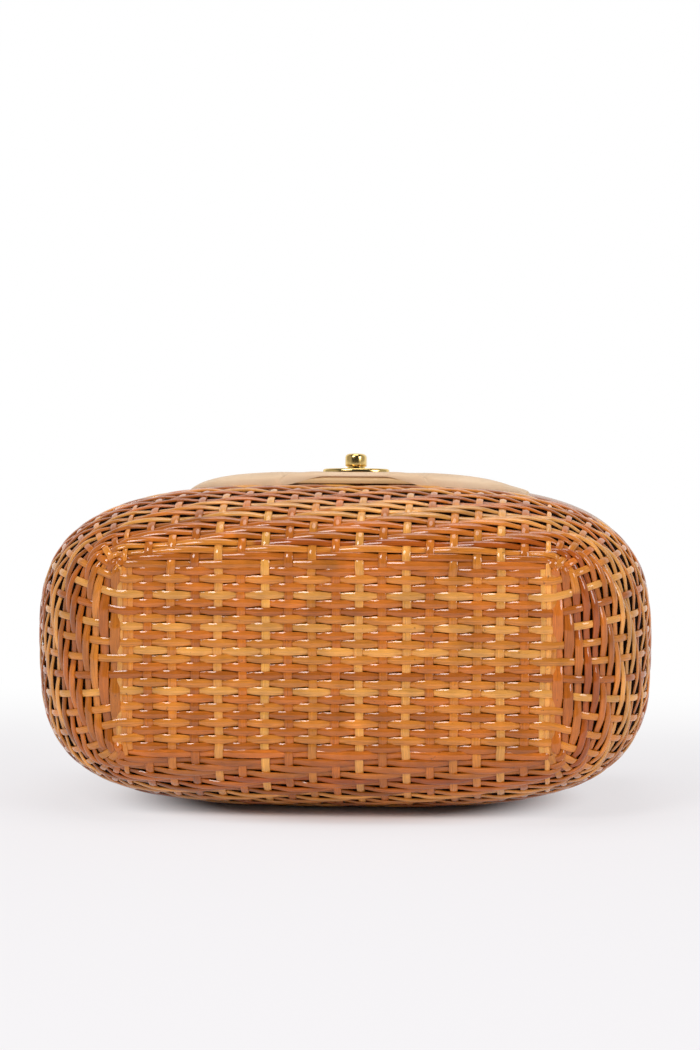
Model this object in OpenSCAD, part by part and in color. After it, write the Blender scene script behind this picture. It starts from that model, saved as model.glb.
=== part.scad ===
// Basket box bag: woven cane body, padded leather lid, front flap with a turn lock, top handle.
// The bag lies on its back: its base faces -Y, its front faces +Z and its lid faces +Y.
// Lengths are millimetres.

/* [Basket] */
// Width of the basket at its widest, over the weave
girth_w = 290; // [270:1:320]
// Depth of the basket at its widest, over the weave
girth_d = 151.6; // [140:0.2:170]
// Height of the widest place above the base
girth_h = 56; // [40:1:70]
// Height of the mouth above the base
rim_h = 136; // [120:1:170]
// How far the wall comes in from its widest place to the mouth
rim_inset = 7; // [4:0.5:8]
// Power of the rounded-box outline, 2 is an ellipse
outline_power = 3.3; // [2.6:0.1:4]
// Thickness of the woven wall between its ridges
wall_t = 3; // [2.4:0.1:4]
// Height of the ridges where a strand passes over
weave_relief = 0.8; // [0.4:0.1:1.2]

/* [Weave] */
// Stakes along the front and along the back of the base
front_stakes = 19; // [15:2:21]
// Distance between those stakes
stake_pitch = 10.8; // [9:0.1:11.5]
// Stakes that leave each end of the base
end_stakes = 11; // [7:2:13]
// Stakes that fan out of each corner of the base
corner_stakes = 3; // [2:1:4]
// Distance between the rows of the base
base_row_pitch = 3.7; // [3.2:0.1:4]
// Rim of the base outside its outer rows
base_margin = 3.4; // [2.5:0.1:6]
// Woven bands from the base to the widest place
shoulder_rows = 9; // [7:1:10]
// Woven bands from the widest place to the mouth
upper_rows = 9; // [7:1:10]
// Groove between two bands or rows
groove_w = 0.5; // [0.3:0.05:0.8]
// Length of a gap between two weavers
gap_l = 4.6; // [3:0.1:6]
// Width of a gap between two weavers
gap_w = 1.3; // [0.8:0.1:2]

/* [Rim] */
// Height of the two rim hoops
hoop_h = 13; // [9:0.5:18]
// Thickness of each hoop
hoop_t = 2.4; // [1.6:0.1:3]
// Thickness of the basket lining
lining_t = 1; // [0.6:0.1:1.6]

/* [Lid] */
// Thickness of the lid board
board_t = 5; // [4:0.5:8]
// Height of the padded lid cover over the board
cover_h = 14; // [10:0.5:20]
// Thickness of the lining under the lid board
lid_lining_t = 1; // [0.6:0.1:1.2]
// Clearance between the lid lining and the inner hoop
lid_lining_clear = 1.6; // [1:0.1:3]

/* [Flap] */
// Width of the front flap
flap_w = 164; // [140:1:180]
// Distance of the flap and its lock to the right of the middle
flap_shift = 4; // [0:0.5:6]
// Radius of the flap's lower corners
flap_corner_r = 32; // [10:1:40]
// Thickness of the flap's leather backing
backing_t = 1.2; // [0.8:0.1:1.6]
// Thickness of the padded flap at the lock
flap_t = 1.8; // [1.6:0.1:3]
// Extra thickness of the padded roll along the lower edge
flap_roll_t = 1.1; // [0.6:0.1:1.4]
// Room behind the flap at the lock
flap_room = 2.8; // [2.6:0.1:3.4]

/* [Lock] */
// Height of the lock above the base
lock_h = 82; // [78:1:88]
// Distance from the flap's lower edge to the middle of the lock
lock_drop = 15; // [13:1:20]
// Width of the oval lock plate
plate_w = 32; // [26:1:40]
// Height of the oval lock plate
plate_h = 20; // [16:1:24]
// Thickness of the lock plate
plate_t = 1.9; // [1.4:0.1:2.4]
// Width of the knob across its flats
knob_w = 10.2; // [8:0.1:12]
// Length of the knob
knob_l = 15; // [12:0.5:18]
// Height of the knob over the plate
knob_h = 7.2; // [6:0.1:9]
// Height of the neck under the knob
neck_h = 0.9; // [0.6:0.1:2]
// Radius of the knob's neck
neck_r = 4.3; // [3.4:0.1:4.8]
// Radius of the lock spindle
spindle_r = 2.2; // [1.8:0.1:2.6]
// Thickness of the plate behind the flap
back_plate_t = 1; // [0.8:0.1:1.1]
// Radius of the plate behind the flap
back_plate_r = 7; // [5.5:0.1:8]
// Thickness of the tongue
tongue_t = 0.9; // [0.8:0.1:1]
// Reach of the tongue from the spindle
tongue_l = 15; // [12:0.5:17]
// Width of the tongue
tongue_w = 6; // [5:0.1:7]

/* [Keeper] */
// Length of the lip over the tongue
keeper_lip = 5.5; // [4:0.1:7]
// Width of the keeper
keeper_w = 13; // [10:0.5:16]
// Thickness of the keeper
keeper_t = 0.8; // [0.6:0.1:0.9]
// Length of its riveted foot
keeper_foot = 6; // [5:0.1:8]
// Radius of a keeper rivet
rivet_r = 1; // [0.8:0.05:1.2]

/* [Hinges] */
// Distance of each hinge from the middle
hinge_x = 40; // [34:1:50]
// Length of a hinge
hinge_l = 24; // [20:0.5:28]
// Radius of the hinge barrel
barrel_r = 3.2; // [2.8:0.1:3.4]
// Radius of the hinge pin
hinge_pin_r = 1.5; // [1.2:0.1:1.8]
// Thickness of a hinge leaf
leaf_t = 1.2; // [1:0.1:1.5]
// Length of the leaf in the lid
lid_leaf_l = 20; // [16:1:26]
// Radius of a hinge screw
screw_r = 1; // [0.8:0.1:1.2]
// Radius of a hinge screw head
screw_head_r = 2; // [1.7:0.1:2.4]
// Height of a hinge screw head
screw_head_h = 0.7; // [0.5:0.1:0.9]
// Distance of the first lid screw from the end of its leaf
lid_screw_edge = 3.5; // [2.5:0.1:4]
// Distance between the two screws of a lid leaf
lid_screw_gap = 7; // [5:0.1:8]

/* [Handle] */
// Distance of each handle pivot from the middle
handle_x = 48; // [40:1:60]
// Radius of the rolled leather grip
grip_r = 5; // [4:0.25:6]
// Radius of the handle eyes
eye_r = 4; // [3.4:0.1:4.4]
// Length of the handle eyes
eye_l = 7; // [6:0.1:9]
// Length of the brass sleeve on each end of the grip
sleeve_l = 9; // [7:0.5:14]
// Wall of that sleeve over the grip
sleeve_t = 0.8; // [0.6:0.1:1]
// Radius of the handle pins
handle_pin_r = 1.6; // [1.3:0.1:1.8]
// Thickness of a lug's ears
ear_t = 1.8; // [1.4:0.1:2.4]
// Radius of a lug's foot
lug_foot_r = 8; // [7:0.1:9]
// Thickness of a lug's foot
lug_foot_t = 1.4; // [1:0.1:1.8]
// Radius of a lug's stem in the lid
lug_stem_r = 2.5; // [2:0.1:3]

/* [Fits] */
// Clearance between pieces that seat on each other
seat = 0.3; // [0.25:0.05:0.35]
// Clearance between the wall and its lining
lining_clear = 0.6; // [0.5:0.05:0.9]
// Clearance of a running fit on a pin
run_fit = 0.05; // [0.03:0.01:0.08]
// Gap between a handle eye and the ears of its lug
ear_gap = 0.3; // [0.2:0.05:0.5]
// Gap between the knuckles of a hinge
knuckle_gap = 0.2; // [0.1:0.05:0.4]
// Clearance of a lid leaf in its pocket
leaf_clear = 0.2; // [0.1:0.05:0.3]
// Gap between a lock plate and the flap
plate_seat = 0.2; // [0.1:0.05:0.3]

/* [Hidden] */

// Overrun of every cut
over = 1;
// Depth of the strand that passes under, as a share of the ridge
under_share = 0.8;
// Part of the base ridges that is worn flat
base_flat_share = 0.3;
base_flat = base_flat_share * weave_relief;
$fn = 48;

// Heights of the lid and the handle
board_z = rim_h + seat;
board_top = board_z + board_t;
cover_top = board_top + cover_h;
sleeve_r = grip_r + run_fit + sleeve_t;
pivot_h = lug_foot_t + sleeve_r + seat;
pivot_z = cover_top + pivot_h;
top_h = pivot_z + sleeve_r;
// Places along an arm of the handle, from its pivot
sleeve_start = eye_r + 2 * ear_gap;
grip_start = sleeve_start + 2 * sleeve_t;
sleeve_end = sleeve_start + sleeve_l;
// Radius of the neck between an eye and its sleeve, as a share of the eye's length
eye_neck_share = 0.4;

// Outline of the basket, read off at its stakes

half_w = girth_w / 2 - weave_relief;
half_d = girth_d / 2 - weave_relief;
end_count = end_stakes + 2 * corner_stakes;
stakes = 2 * (front_stakes + end_count);
stake_reach = (front_stakes - 1) / 2 * stake_pitch;
base_rows = 2 * end_stakes + 1;
row_reach = (base_rows - 1) / 2 * base_row_pitch;
base_half_w = stake_reach + base_margin;
base_half_d = row_reach + base_margin;
// Radius of the base's corners
corner_r = base_margin;

// Half depth of the outline at x
function outline_y(x) = half_d * pow(1 - pow(abs(x) / half_w, outline_power), 1 / outline_power);

// The end of the outline between the last front stake and the last back stake, q from -1 to 1
end_turn = acos(pow(stake_reach / half_w, outline_power / 2));
function end_point(q) =
    let(turn = end_turn * pow(abs(q), outline_power / 2))
    [half_w * pow(cos(turn), 2 / outline_power),
     sign(q) * half_d * pow(sin(turn), 2 / outline_power)];
// Steps that measure the run around an end
end_steps = 60;
end_runs = [for (k = 0, run = 0; k <= end_steps;
    run = run + norm(end_point(2 * (k + 1) / end_steps - 1) - end_point(2 * k / end_steps - 1)),
    k = k + 1) [run, 2 * k / end_steps - 1]];
end_length = end_runs[end_steps][0];
function end_stake(m) = end_point(lookup(end_length * m / (end_count + 1), end_runs));

// Stakes in order: front from left to right, right end, back, left end
function half_turn(p) = [-p[0], -p[1]];
girth_half = concat(
    [for (c = [0 : front_stakes - 1]) let(x = c * stake_pitch - stake_reach) [x, -outline_y(x)]],
    [for (m = [1 : end_count]) end_stake(m)]);
girth_ring = concat(girth_half, [for (p = girth_half) half_turn(p)]);

function corner_point(m, way) =
    let(turn = 90 * m / (corner_stakes + 1))
    [base_half_w - corner_r + corner_r * sin(turn), way * (base_half_d - corner_r + corner_r * cos(turn))];
base_half = concat(
    [for (c = [0 : front_stakes - 1]) [c * stake_pitch - stake_reach, -base_half_d]],
    [for (m = [1 : corner_stakes]) corner_point(m, -1)],
    [for (k = [0 : end_stakes - 1]) [base_half_w, (2 * k + 1) * base_row_pitch - row_reach]],
    [for (m = [1 : corner_stakes]) corner_point(corner_stakes + 1 - m, 1)]);
base_ring = concat(base_half, [for (p = base_half) half_turn(p)]);

// Outward direction of the outline at each stake
function outward(p) =
    let(gx = sign(p[0]) * pow(abs(p[0]) / half_w, outline_power - 1) / half_w,
        gy = sign(p[1]) * pow(abs(p[1]) / half_d, outline_power - 1) / half_d)
    [gx, gy] / norm([gx, gy]);
girth_out = [for (p = girth_ring) outward(p)];

// Ring of the outline moved outward by a distance
function ring(shift) = [for (i = [0 : stakes - 1]) girth_ring[i] + shift * girth_out[i]];

// Wall of the basket: level 0 is the edge of the base, 1 the widest place, 2 the mouth

// The wall is straight from one band below the hoops to the mouth
straight_h = rim_h - hoop_h - (rim_h - girth_h) / upper_rows;
function wall_inset(z) =
    let(s = min(1, max(0, (z - girth_h) / (straight_h - girth_h)))) rim_inset * s * s;
function wall_point(i, level, depth) =
    level < 1
        ? let(turn = 90 * level,
              run = norm(girth_ring[i] - base_ring[i]),
              nose = [girth_h * sin(turn), -run * cos(turn)] / norm([girth_h * sin(turn), run * cos(turn)]),
              middle = base_ring[i] + (girth_ring[i] - base_ring[i]) * sin(turn),
              flat = middle + depth * nose[0] * girth_out[i])
          [flat[0], flat[1], weave_relief + girth_h * (1 - cos(turn)) + depth * nose[1]]
        : let(z = girth_h + weave_relief + (level - 1) * (rim_h - girth_h - weave_relief),
              flat = girth_ring[i] + (depth - wall_inset(z)) * girth_out[i])
          [flat[0], flat[1], z];

// Twill: each weaver passes over two stakes and under two, one stake further on in each row
function twill(i, j) = (i - j + 4 * stakes) % 4 < 2 ? weave_relief : -under_share * weave_relief;
// Plain weave on the base
function plain(c, k) = (c + k) % 2 == 0 ? -weave_relief : under_share * weave_relief;

wall_rows = shoulder_rows + upper_rows;
// Ease of the bands towards the base, 1 is even
row_ease_share = 0.86;
// Level of a place between the bands, counted in bands from the base
function row_level(t) =
    t <= shoulder_rows ? pow(t / shoulder_rows, row_ease_share) : 1 + (t - shoulder_rows) / upper_rows;
// Half a groove, in bands
groove_share = groove_w * upper_rows / (rim_h - girth_h) / 2;
// Levels of the rings inside the wall and of the lining
inner_level_shares = [0, 0.3, 0.6, 1, 1.3, 1.75, 2];
lining_level_shares = [0, 0.3, 0.6, 1, 1.3, 1.75];

// Faces between two rings of equal count that start at two points
function band(a, b, count) = [for (i = [0 : count - 1]) let(n = (i + 1) % count)
    each [[a + i, b + i, b + n], [a + i, b + n, a + n]]];

// Each band is two rings of points, its lower and its upper edge, and so is each row of the base
module woven_wall() {
    bands = [for (j = [0 : wall_rows - 1]) for (side = [groove_share, 1 - groove_share])
        for (i = [0 : stakes - 1]) wall_point(i, row_level(j + side), twill(i, j))];
    outer = concat(
        [for (i = [0 : stakes - 1]) wall_point(i, 0, 0)],
        bands,
        [for (i = [0 : stakes - 1]) wall_point(i, 2, 0)]);
    inner = [for (level = inner_level_shares) for (i = [0 : stakes - 1]) wall_point(i, level, -wall_t)];
    row_half = (base_row_pitch - groove_w) / 2;
    panel = [for (k = [0 : base_rows - 1]) for (side = [-row_half, row_half])
        for (c = [0 : front_stakes - 1])
            let(x = c * stake_pitch - stake_reach, y = k * base_row_pitch - row_reach + side)
            [x, y, weave_relief + plain(c, k)]];
    rings = 2 * wall_rows + 1;
    inner_start = len(outer);
    panel_start = inner_start + len(inner);
    inner_top = inner_start + (len(inner_level_shares) - 1) * stakes;
    middle = panel_start + len(panel);
    last = front_stakes - 1;
    back = 2 * base_rows - 1;
    half = stakes / 2;
    end_start = front_stakes + corner_stakes;
    end_last = end_start + end_stakes - 1;
    function at(k, c) = panel_start + k * front_stakes + c;
    // Right half of the seam between the panel and the edge of the base, then the left half by a half turn
    function turned(flip, k, c) = flip ? at(back - k, last - c) : at(k, c);
    function edge(flip, i) = (i + (flip ? half : 0)) % stakes;
    seam = [for (flip = [false, true]) each concat(
        [for (c = [0 : last - 1]) each [
            [edge(flip, c), edge(flip, c + 1), turned(flip, 0, c + 1)],
            [edge(flip, c), turned(flip, 0, c + 1), turned(flip, 0, c)]]],
        [for (m = [last : end_start - 1]) [edge(flip, m), edge(flip, m + 1), turned(flip, 0, last)]],
        [for (k = [0 : 3]) [edge(flip, end_start), turned(flip, k + 1, last), turned(flip, k, last)]],
        [for (e = [0 : end_stakes - 2]) each concat(
            [[edge(flip, end_start + e), edge(flip, end_start + e + 1), turned(flip, 4 * e + 4, last)]],
            [for (k = [4 * e + 4 : 4 * e + 7])
                [edge(flip, end_start + e + 1), turned(flip, k + 1, last), turned(flip, k, last)]])],
        [[edge(flip, end_last), turned(flip, back, last), turned(flip, back - 1, last)]],
        [for (m = [end_last : half - 1]) [edge(flip, m), edge(flip, m + 1), turned(flip, back, last)]])];
    floor_faces = [for (k = [0 : back - 1]) for (c = [0 : last - 1]) each [
        [at(k, c), at(k, c + 1), at(k + 1, c + 1)], [at(k, c), at(k + 1, c + 1), at(k + 1, c)]]];
    polyhedron(
        points = concat(outer, inner, panel, [[0, 0, weave_relief + wall_t]]),
        faces = concat(
            [for (j = [0 : rings - 1]) each band(j * stakes, (j + 1) * stakes, stakes)],
            band(rings * stakes, inner_top, stakes),
            [for (j = [0 : len(inner_level_shares) - 2])
                each band(inner_start + (j + 1) * stakes, inner_start + j * stakes, stakes)],
            [for (i = [0 : stakes - 1]) [inner_start + (i + 1) % stakes, inner_start + i, middle]],
            seam, floor_faces));
}

// Open gaps in the end walls, where the fanned stakes part the bands, between the floats of the twill
gap_rows = [4 : 2 : shoulder_rows];
// Size of a gap on the inside, as a share of its size outside
gap_taper_share = 0.8;
gap_stakes = [for (i = [0 : stakes - 1]) if (i % (stakes / 2) >= front_stakes - 1) i];
module weave_gap(i, j) {
    p = wall_point(i, row_level(j), 0);
    q = wall_point((i + 1) % stakes, row_level(j), 0);
    above = wall_point(i, row_level(j + groove_share), 0);
    along = (q - p) / norm(q - p);
    out = cross(along, above - p) / norm(cross(along, above - p));
    side = cross(out, along);
    m = (p + q) / 2;
    multmatrix([
        [along[0], side[0], out[0], m[0]],
        [along[1], side[1], out[1], m[1]],
        [along[2], side[2], out[2], m[2]]])
        hull() {
            gap_end(weave_relief, 1);
            gap_end(-2 * wall_t, gap_taper_share);
        }
}
module gap_end(z, share) {
    translate([0, 0, z]) linear_extrude(weave_relief) polygon(share / 2 * [
        [-gap_l, 0], [0, -gap_w], [gap_l, 0], [0, gap_w]]);
}

// Lays the upright bag on its back
module lie_down() {
    translate([0, -(base_flat + top_h) / 2, girth_d / 2]) rotate([-90, 0, 0]) children();
}

// The base's ridges are flat where they meet a table
module basket_body() {
    color("peru") lie_down() difference() {
        woven_wall();
        translate([-girth_w, -girth_d, -girth_h]) cube([2 * girth_w, 2 * girth_d, girth_h + base_flat]);
        for (i = gap_stakes) for (j = gap_rows) if ((i - j + stakes) % 4 == 2) weave_gap(i, j);
        for (way = [-1, 1])
            keeper_place(way) cylinder(h = 2 * keeper_rivet_l, r = rivet_r + seat, center = true);
    }
}

module basket_lining() {
    count = len(lining_level_shares);
    outside = [for (level = lining_level_shares) for (i = [0 : 2 : stakes - 1])
        wall_point(i, level, -wall_t - lining_clear)];
    inside = [for (level = lining_level_shares) for (i = [0 : 2 : stakes - 1])
        wall_point(i, level, -wall_t - lining_clear - lining_t)];
    n = stakes / 2;
    color("saddlebrown") lie_down() polyhedron(
        points = concat(outside, inside,
            [[0, 0, weave_relief + wall_t + lining_clear],
             [0, 0, weave_relief + wall_t + lining_clear + lining_t]]),
        faces = concat(
            [for (j = [0 : count - 2]) each band(j * n, (j + 1) * n, n)],
            band((count - 1) * n, (2 * count - 1) * n, n),
            [for (j = [0 : count - 2]) each band((count + j + 1) * n, (count + j) * n, n)],
            [for (i = [0 : n - 1]) each [
                [i, (i + 1) % n, 2 * count * n],
                [count * n + (i + 1) % n, count * n + i, 2 * count * n + 1]]]));
}

// Shifts of the outline to the faces of the hoops and of the lid
hoop_out = weave_relief + seat - rim_inset;
hoop_in = -wall_t - seat - rim_inset;
hoop_clear = hoop_in - hoop_t;
lid_shift = -rim_inset;

module hoop(inside, thick) {
    translate([0, 0, rim_h - hoop_h]) linear_extrude(hoop_h) difference() {
        polygon(ring(inside + thick));
        polygon(ring(inside));
    }
}

module rim_hoop_outer() {
    color("sienna") lie_down() difference() {
        hoop(hoop_out, hoop_t);
        hinge_screw_places()
            cylinder(h = 2 * (hoop_t + leaf_t + over), r = screw_r + run_fit, center = true);
    }
}

module rim_hoop_inner() {
    color("sienna") lie_down() hoop(hoop_clear, hoop_t);
}

// Hinges: the axis runs along x behind the mouth, and the barrel just reaches the back of the belly

hinge_y = girth_d / 2 - barrel_r;
hinge_z = board_z + barrel_r;
knuckle_l = hinge_l / 3;
body_leaf_h = hoop_h - seat;
body_leaf_y = girth_d / 2 + hoop_out + hoop_t - weave_relief + seat;

module hinge_axis(way) {
    translate([way * hinge_x, hinge_y, hinge_z]) rotate([0, 90, 0]) children();
}

module knuckle(way, from, to) {
    hinge_axis(way) translate([0, 0, from]) cylinder(h = to - from, r = barrel_r);
}

module pin_bore(way) {
    hinge_axis(way) cylinder(h = hinge_l + 2 * over, r = hinge_pin_r + run_fit, center = true);
}

// Screws of the body leaves, with the shank along y
screw_spread_share = 0.3;
screw_z = rim_h - hoop_h / 2;
module hinge_screw_places() {
    for (way = [-1, 1]) for (side = [-1, 1])
        translate([way * hinge_x + side * screw_spread_share * hinge_l, body_leaf_y + leaf_t, screw_z])
            rotate([-90, 0, 0]) children();
}

module hinge_leaf_body(way) {
    x = way * hinge_x - hinge_l / 2;
    color("goldenrod") lie_down() difference() {
        union() {
            translate([x, body_leaf_y, rim_h - body_leaf_h]) cube([hinge_l, leaf_t, body_leaf_h]);
            for (end = [0, 1])
                translate([x + end * (hinge_l - knuckle_l), body_leaf_y, rim_h - over])
                    cube([knuckle_l, leaf_t, hinge_z - rim_h + over]);
            knuckle(way, -hinge_l / 2, -knuckle_l / 2);
            knuckle(way, knuckle_l / 2, hinge_l / 2);
        }
        pin_bore(way);
        hinge_screw_places() cylinder(h = 2 * (leaf_t + over), r = screw_r + run_fit, center = true);
    }
}

module hinge_leaf_body_left() hinge_leaf_body(-1);
module hinge_leaf_body_right() hinge_leaf_body(1);

// The lid leaf lies in a pocket in the top of the board
module lid_leaf_blank(way, grow) {
    half_l = knuckle_l / 2 - knuckle_gap + grow;
    translate([way * hinge_x - half_l, hinge_y - lid_leaf_l - grow, board_top - leaf_t - grow])
        cube([2 * half_l, lid_leaf_l + grow, leaf_t + grow]);
}

module lid_screw_places() {
    for (way = [-1, 1]) for (step = [0, 1])
        translate([way * hinge_x, hinge_y - lid_leaf_l + lid_screw_edge + step * lid_screw_gap, board_top])
            children();
}

module hinge_leaf_lid(way) {
    color("goldenrod") lie_down() difference() {
        union() {
            lid_leaf_blank(way, 0);
            knuckle(way, -knuckle_l / 2 + knuckle_gap, knuckle_l / 2 - knuckle_gap);
        }
        pin_bore(way);
        lid_screw_places() cylinder(h = 2 * (leaf_t + over), r = screw_r + run_fit, center = true);
    }
}

module hinge_leaf_lid_left() hinge_leaf_lid(-1);
module hinge_leaf_lid_right() hinge_leaf_lid(1);

module hinge_pin(way) {
    color("gold") lie_down() hinge_axis(way) cylinder(h = hinge_l, r = hinge_pin_r, center = true);
}

module hinge_pin_left() hinge_pin(-1);
module hinge_pin_right() hinge_pin(1);

module hinge_screws_body() {
    color("gold") lie_down() hinge_screw_places() {
        cylinder(h = screw_head_h, r1 = screw_head_r, r2 = screw_r);
        translate([0, 0, -leaf_t - hoop_t]) cylinder(h = leaf_t + hoop_t, r = screw_r);
    }
}

lid_screw_l = board_t - over;
module hinge_screws_lid() {
    color("gold") lie_down() lid_screw_places()
        translate([0, 0, -lid_screw_l]) cylinder(h = lid_screw_l, r = screw_r);
}

// Lid: a stiff board with a padded cover above it and a lining below it

module lid_board() {
    color("burlywood") lie_down() difference() {
        translate([0, 0, board_z]) linear_extrude(board_t) polygon(ring(lid_shift));
        for (way = [-1, 1]) lid_leaf_blank(way, leaf_clear);
        lid_screw_places() cylinder(h = 2 * lid_screw_l, r = screw_r + run_fit, center = true);
        for (way = [-1, 1])
            translate([way * handle_x, 0, board_top])
                cylinder(h = 2 * (board_t + over), r = lug_stem_r + run_fit, center = true);
    }
}

module lid_lining() {
    color("saddlebrown") lie_down()
        translate([0, 0, board_z - lid_lining_t]) linear_extrude(lid_lining_t)
            polygon(ring(hoop_clear - lid_lining_clear));
}

// Levels of the cover: share of the plan and share of the height
cover_plan_shares = [1, 1.004, 0.985, 0.94, 0.84, 0.66, 0.4];
cover_rise_shares = [0, 0.22, 0.46, 0.68, 0.85, 0.95, 0.99];
module lid_cover() {
    plan = ring(lid_shift);
    n = stakes / 2;
    levels = len(cover_plan_shares);
    points = concat(
        [for (k = [0 : levels - 1]) for (i = [0 : n - 1])
            [plan[2 * i][0] * cover_plan_shares[k], plan[2 * i][1] * cover_plan_shares[k],
             board_top + cover_h * cover_rise_shares[k]]],
        [[0, 0, board_top + cover_h]]);
    top = (levels - 1) * n;
    color("tan") lie_down() difference() {
        polyhedron(points = points, faces = concat(
            [[for (i = [0 : n - 1]) i]],
            [for (k = [0 : levels - 2]) each band(k * n, (k + 1) * n, n)],
            [for (i = [0 : n - 1]) [top + i, levels * n, top + (i + 1) % n]]));
        for (way = [-1, 1])
            translate([way * handle_x, 0, board_top - over])
                cylinder(h = cover_h + 2 * over, r = lug_stem_r + seat);
    }
}

// Front flap: it hangs from the front of the lid and stands off the wall at the lock

flap_top_h = board_top + 2 * cover_rise_shares[1] * cover_h;
flap_edge_h = lock_h - lock_drop;
flap_columns = 16;
flap_rows = 12;
// Rows of the flap above the mouth, and the height of a row below it
flap_lid_rows = 2;
flap_step = (rim_h - flap_edge_h) / (flap_rows - flap_lid_rows);
wall_at_lock = girth_d / 2 - wall_inset(lock_h);
// The lock leans as the wall does behind it
lock_lean = atan(2 * rim_inset * (lock_h - girth_h) / pow(straight_h - girth_h, 2));
hoop_face = girth_d / 2 + hoop_out + hoop_t - weave_relief;
cover_face = (girth_d / 2 + lid_shift - weave_relief) * cover_plan_shares[1];
lean_run = plate_h / 2 * tan(lock_lean);
flap_inside = [
    [flap_edge_h, girth_d / 2 - wall_inset(flap_edge_h) + 2 * seat],
    [flap_edge_h + (lock_h - plate_h / 2 - flap_edge_h) / 3, wall_at_lock + flap_room],
    [lock_h - plate_h / 2, wall_at_lock + flap_room + lean_run],
    [lock_h + plate_h / 2, wall_at_lock + flap_room - lean_run],
    [rim_h - hoop_h - flap_step, hoop_face + 3 * seat],
    [rim_h, hoop_face + 2 * seat],
    [flap_top_h - cover_rise_shares[1] * cover_h, cover_face + seat],
    [flap_top_h, cover_face + seat]];
flap_thick = [
    [flap_edge_h, flap_t + flap_roll_t],
    [lock_h - plate_h / 2, flap_t],
    [rim_h, flap_t],
    [flap_top_h, flap_t / 2]];
// Room behind the flap that is lost at its sides
flap_sink = [
    [flap_edge_h, 0],
    [lock_h - plate_h / 2, flap_room - 3 * seat],
    [lock_h + plate_h / 2, flap_room - 3 * seat],
    [rim_h - hoop_h - flap_step, 0]];

// x is counted from the middle of the flap
function flap_x(c) = flap_w / 2 * sin(90 * (2 * c / flap_columns - 1));
function flap_low(x) =
    let(past = max(0, abs(x) - (flap_w / 2 - flap_corner_r)))
    flap_edge_h + flap_corner_r - sqrt(max(0, flap_corner_r * flap_corner_r - past * past));
function flap_z(x, r) =
    r <= flap_lid_rows
        ? flap_top_h + (rim_h - flap_top_h) * r / flap_lid_rows
        : rim_h + (flap_low(x) - rim_h) * (r - flap_lid_rows) / (flap_rows - flap_lid_rows);
// Sharpness of the fall to the sides, and the share of the padding that is lost there
side_power = 5;
side_pad_share = 0.8;
function side_fall(x) = pow(abs(2 * x / flap_w), side_power);
// middle is the height of the same row in the middle of the flap
function flap_pad(x, middle) = lookup(middle, flap_thick) * (1 - side_pad_share * side_fall(x));
function flap_y(x, z, middle) =
    wall_inset(z) - wall_inset(middle) - lookup(middle, flap_inside) + lookup(middle, flap_sink) * side_fall(x)
    + half_d - outline_y(x + flap_shift);

// A panel between the flap's inside moved out by two depths, where pad adds the padding to the outer one
module flap_panel(inner, outer, pad) {
    n = flap_columns + 1;
    grid = [for (r = [0 : flap_rows]) for (c = [0 : flap_columns])
        [flap_x(c), flap_z(flap_x(c), r), flap_z(0, r)]];
    near = [for (g = grid) [g[0] + flap_shift, flap_y(g[0], g[1], g[2]) - inner, g[1]]];
    far = [for (g = grid)
        [g[0] + flap_shift, flap_y(g[0], g[1], g[2]) - outer - (pad ? flap_pad(g[0], g[2]) : 0), g[1]]];
    size = len(grid);
    border = concat(
        [for (c = [0 : flap_columns - 1]) c],
        [for (r = [0 : flap_rows - 1]) r * n + flap_columns],
        [for (c = [flap_columns : -1 : 1]) flap_rows * n + c],
        [for (r = [flap_rows : -1 : 1]) r * n]);
    sheet = [for (r = [0 : flap_rows - 1]) for (c = [0 : flap_columns - 1])
        let(a = r * n + c) each [[a, a + 1, a + n + 1], [a, a + n + 1, a + n]]];
    count = len(border);
    polyhedron(points = concat(near, far), faces = concat(
        [for (f = sheet) [f[2], f[1], f[0]]],
        [for (f = sheet) [f[0] + size, f[1] + size, f[2] + size]],
        [for (k = [0 : count - 1]) let(a = border[k], b = border[(k + 1) % count])
            each [[a, b, b + size], [a, b + size, a + size]]]));
}

module front_flap() {
    color("tan") lie_down() difference() {
        flap_panel(backing_t, backing_t, true);
        lock_place() cylinder(h = 2 * (plate_lift + over), r = spindle_r + seat, center = true);
    }
}

module flap_backing() {
    color("burlywood") lie_down() difference() {
        flap_panel(0, backing_t, false);
        lock_place() cylinder(h = 4 * plate_lift, r = spindle_r + seat, center = true);
    }
}

// Turn lock: z of its own frame points out of the front, 0 lies on the outer face of the flap

plate_lift = backing_t + flap_t + flap_room;
module lock_place() {
    translate([flap_shift, -(wall_at_lock + plate_lift), lock_h])
        rotate([90 - lock_lean, 0, 0]) children();
}

module lock_plate() {
    color("gold") lie_down() lock_place() translate([0, 0, plate_seat]) difference() {
        linear_extrude(plate_t) scale([plate_w / plate_h, 1]) circle(r = plate_h / 2);
        translate([0, 0, -over]) cylinder(h = plate_t + 2 * over, r = spindle_r + run_fit);
    }
}

tongue_z = -plate_lift + seat;
neck_z = plate_seat + plate_t + run_fit;
// Radius of the knob's domed top, as a share of its length
knob_dome_share = 1.1;
knob_dome_r = knob_l * knob_dome_share;
module lock_knob() {
    color("gold") lie_down() lock_place() {
        translate([0, 0, neck_z]) cylinder(h = neck_h, r = neck_r);
        translate([0, 0, neck_z + neck_h]) intersection() {
            linear_extrude(knob_h - neck_h) union() {
                square([knob_w, knob_l - knob_w], center = true);
                for (way = [-1, 1])
                    translate([0, way * (knob_l - knob_w) / 2]) circle(r = knob_w / 2);
            }
            translate([0, 0, knob_h - neck_h - knob_dome_r]) sphere(r = knob_dome_r);
        }
        translate([0, 0, tongue_z]) cylinder(h = neck_z + neck_h - tongue_z, r = spindle_r);
    }
}

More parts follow.
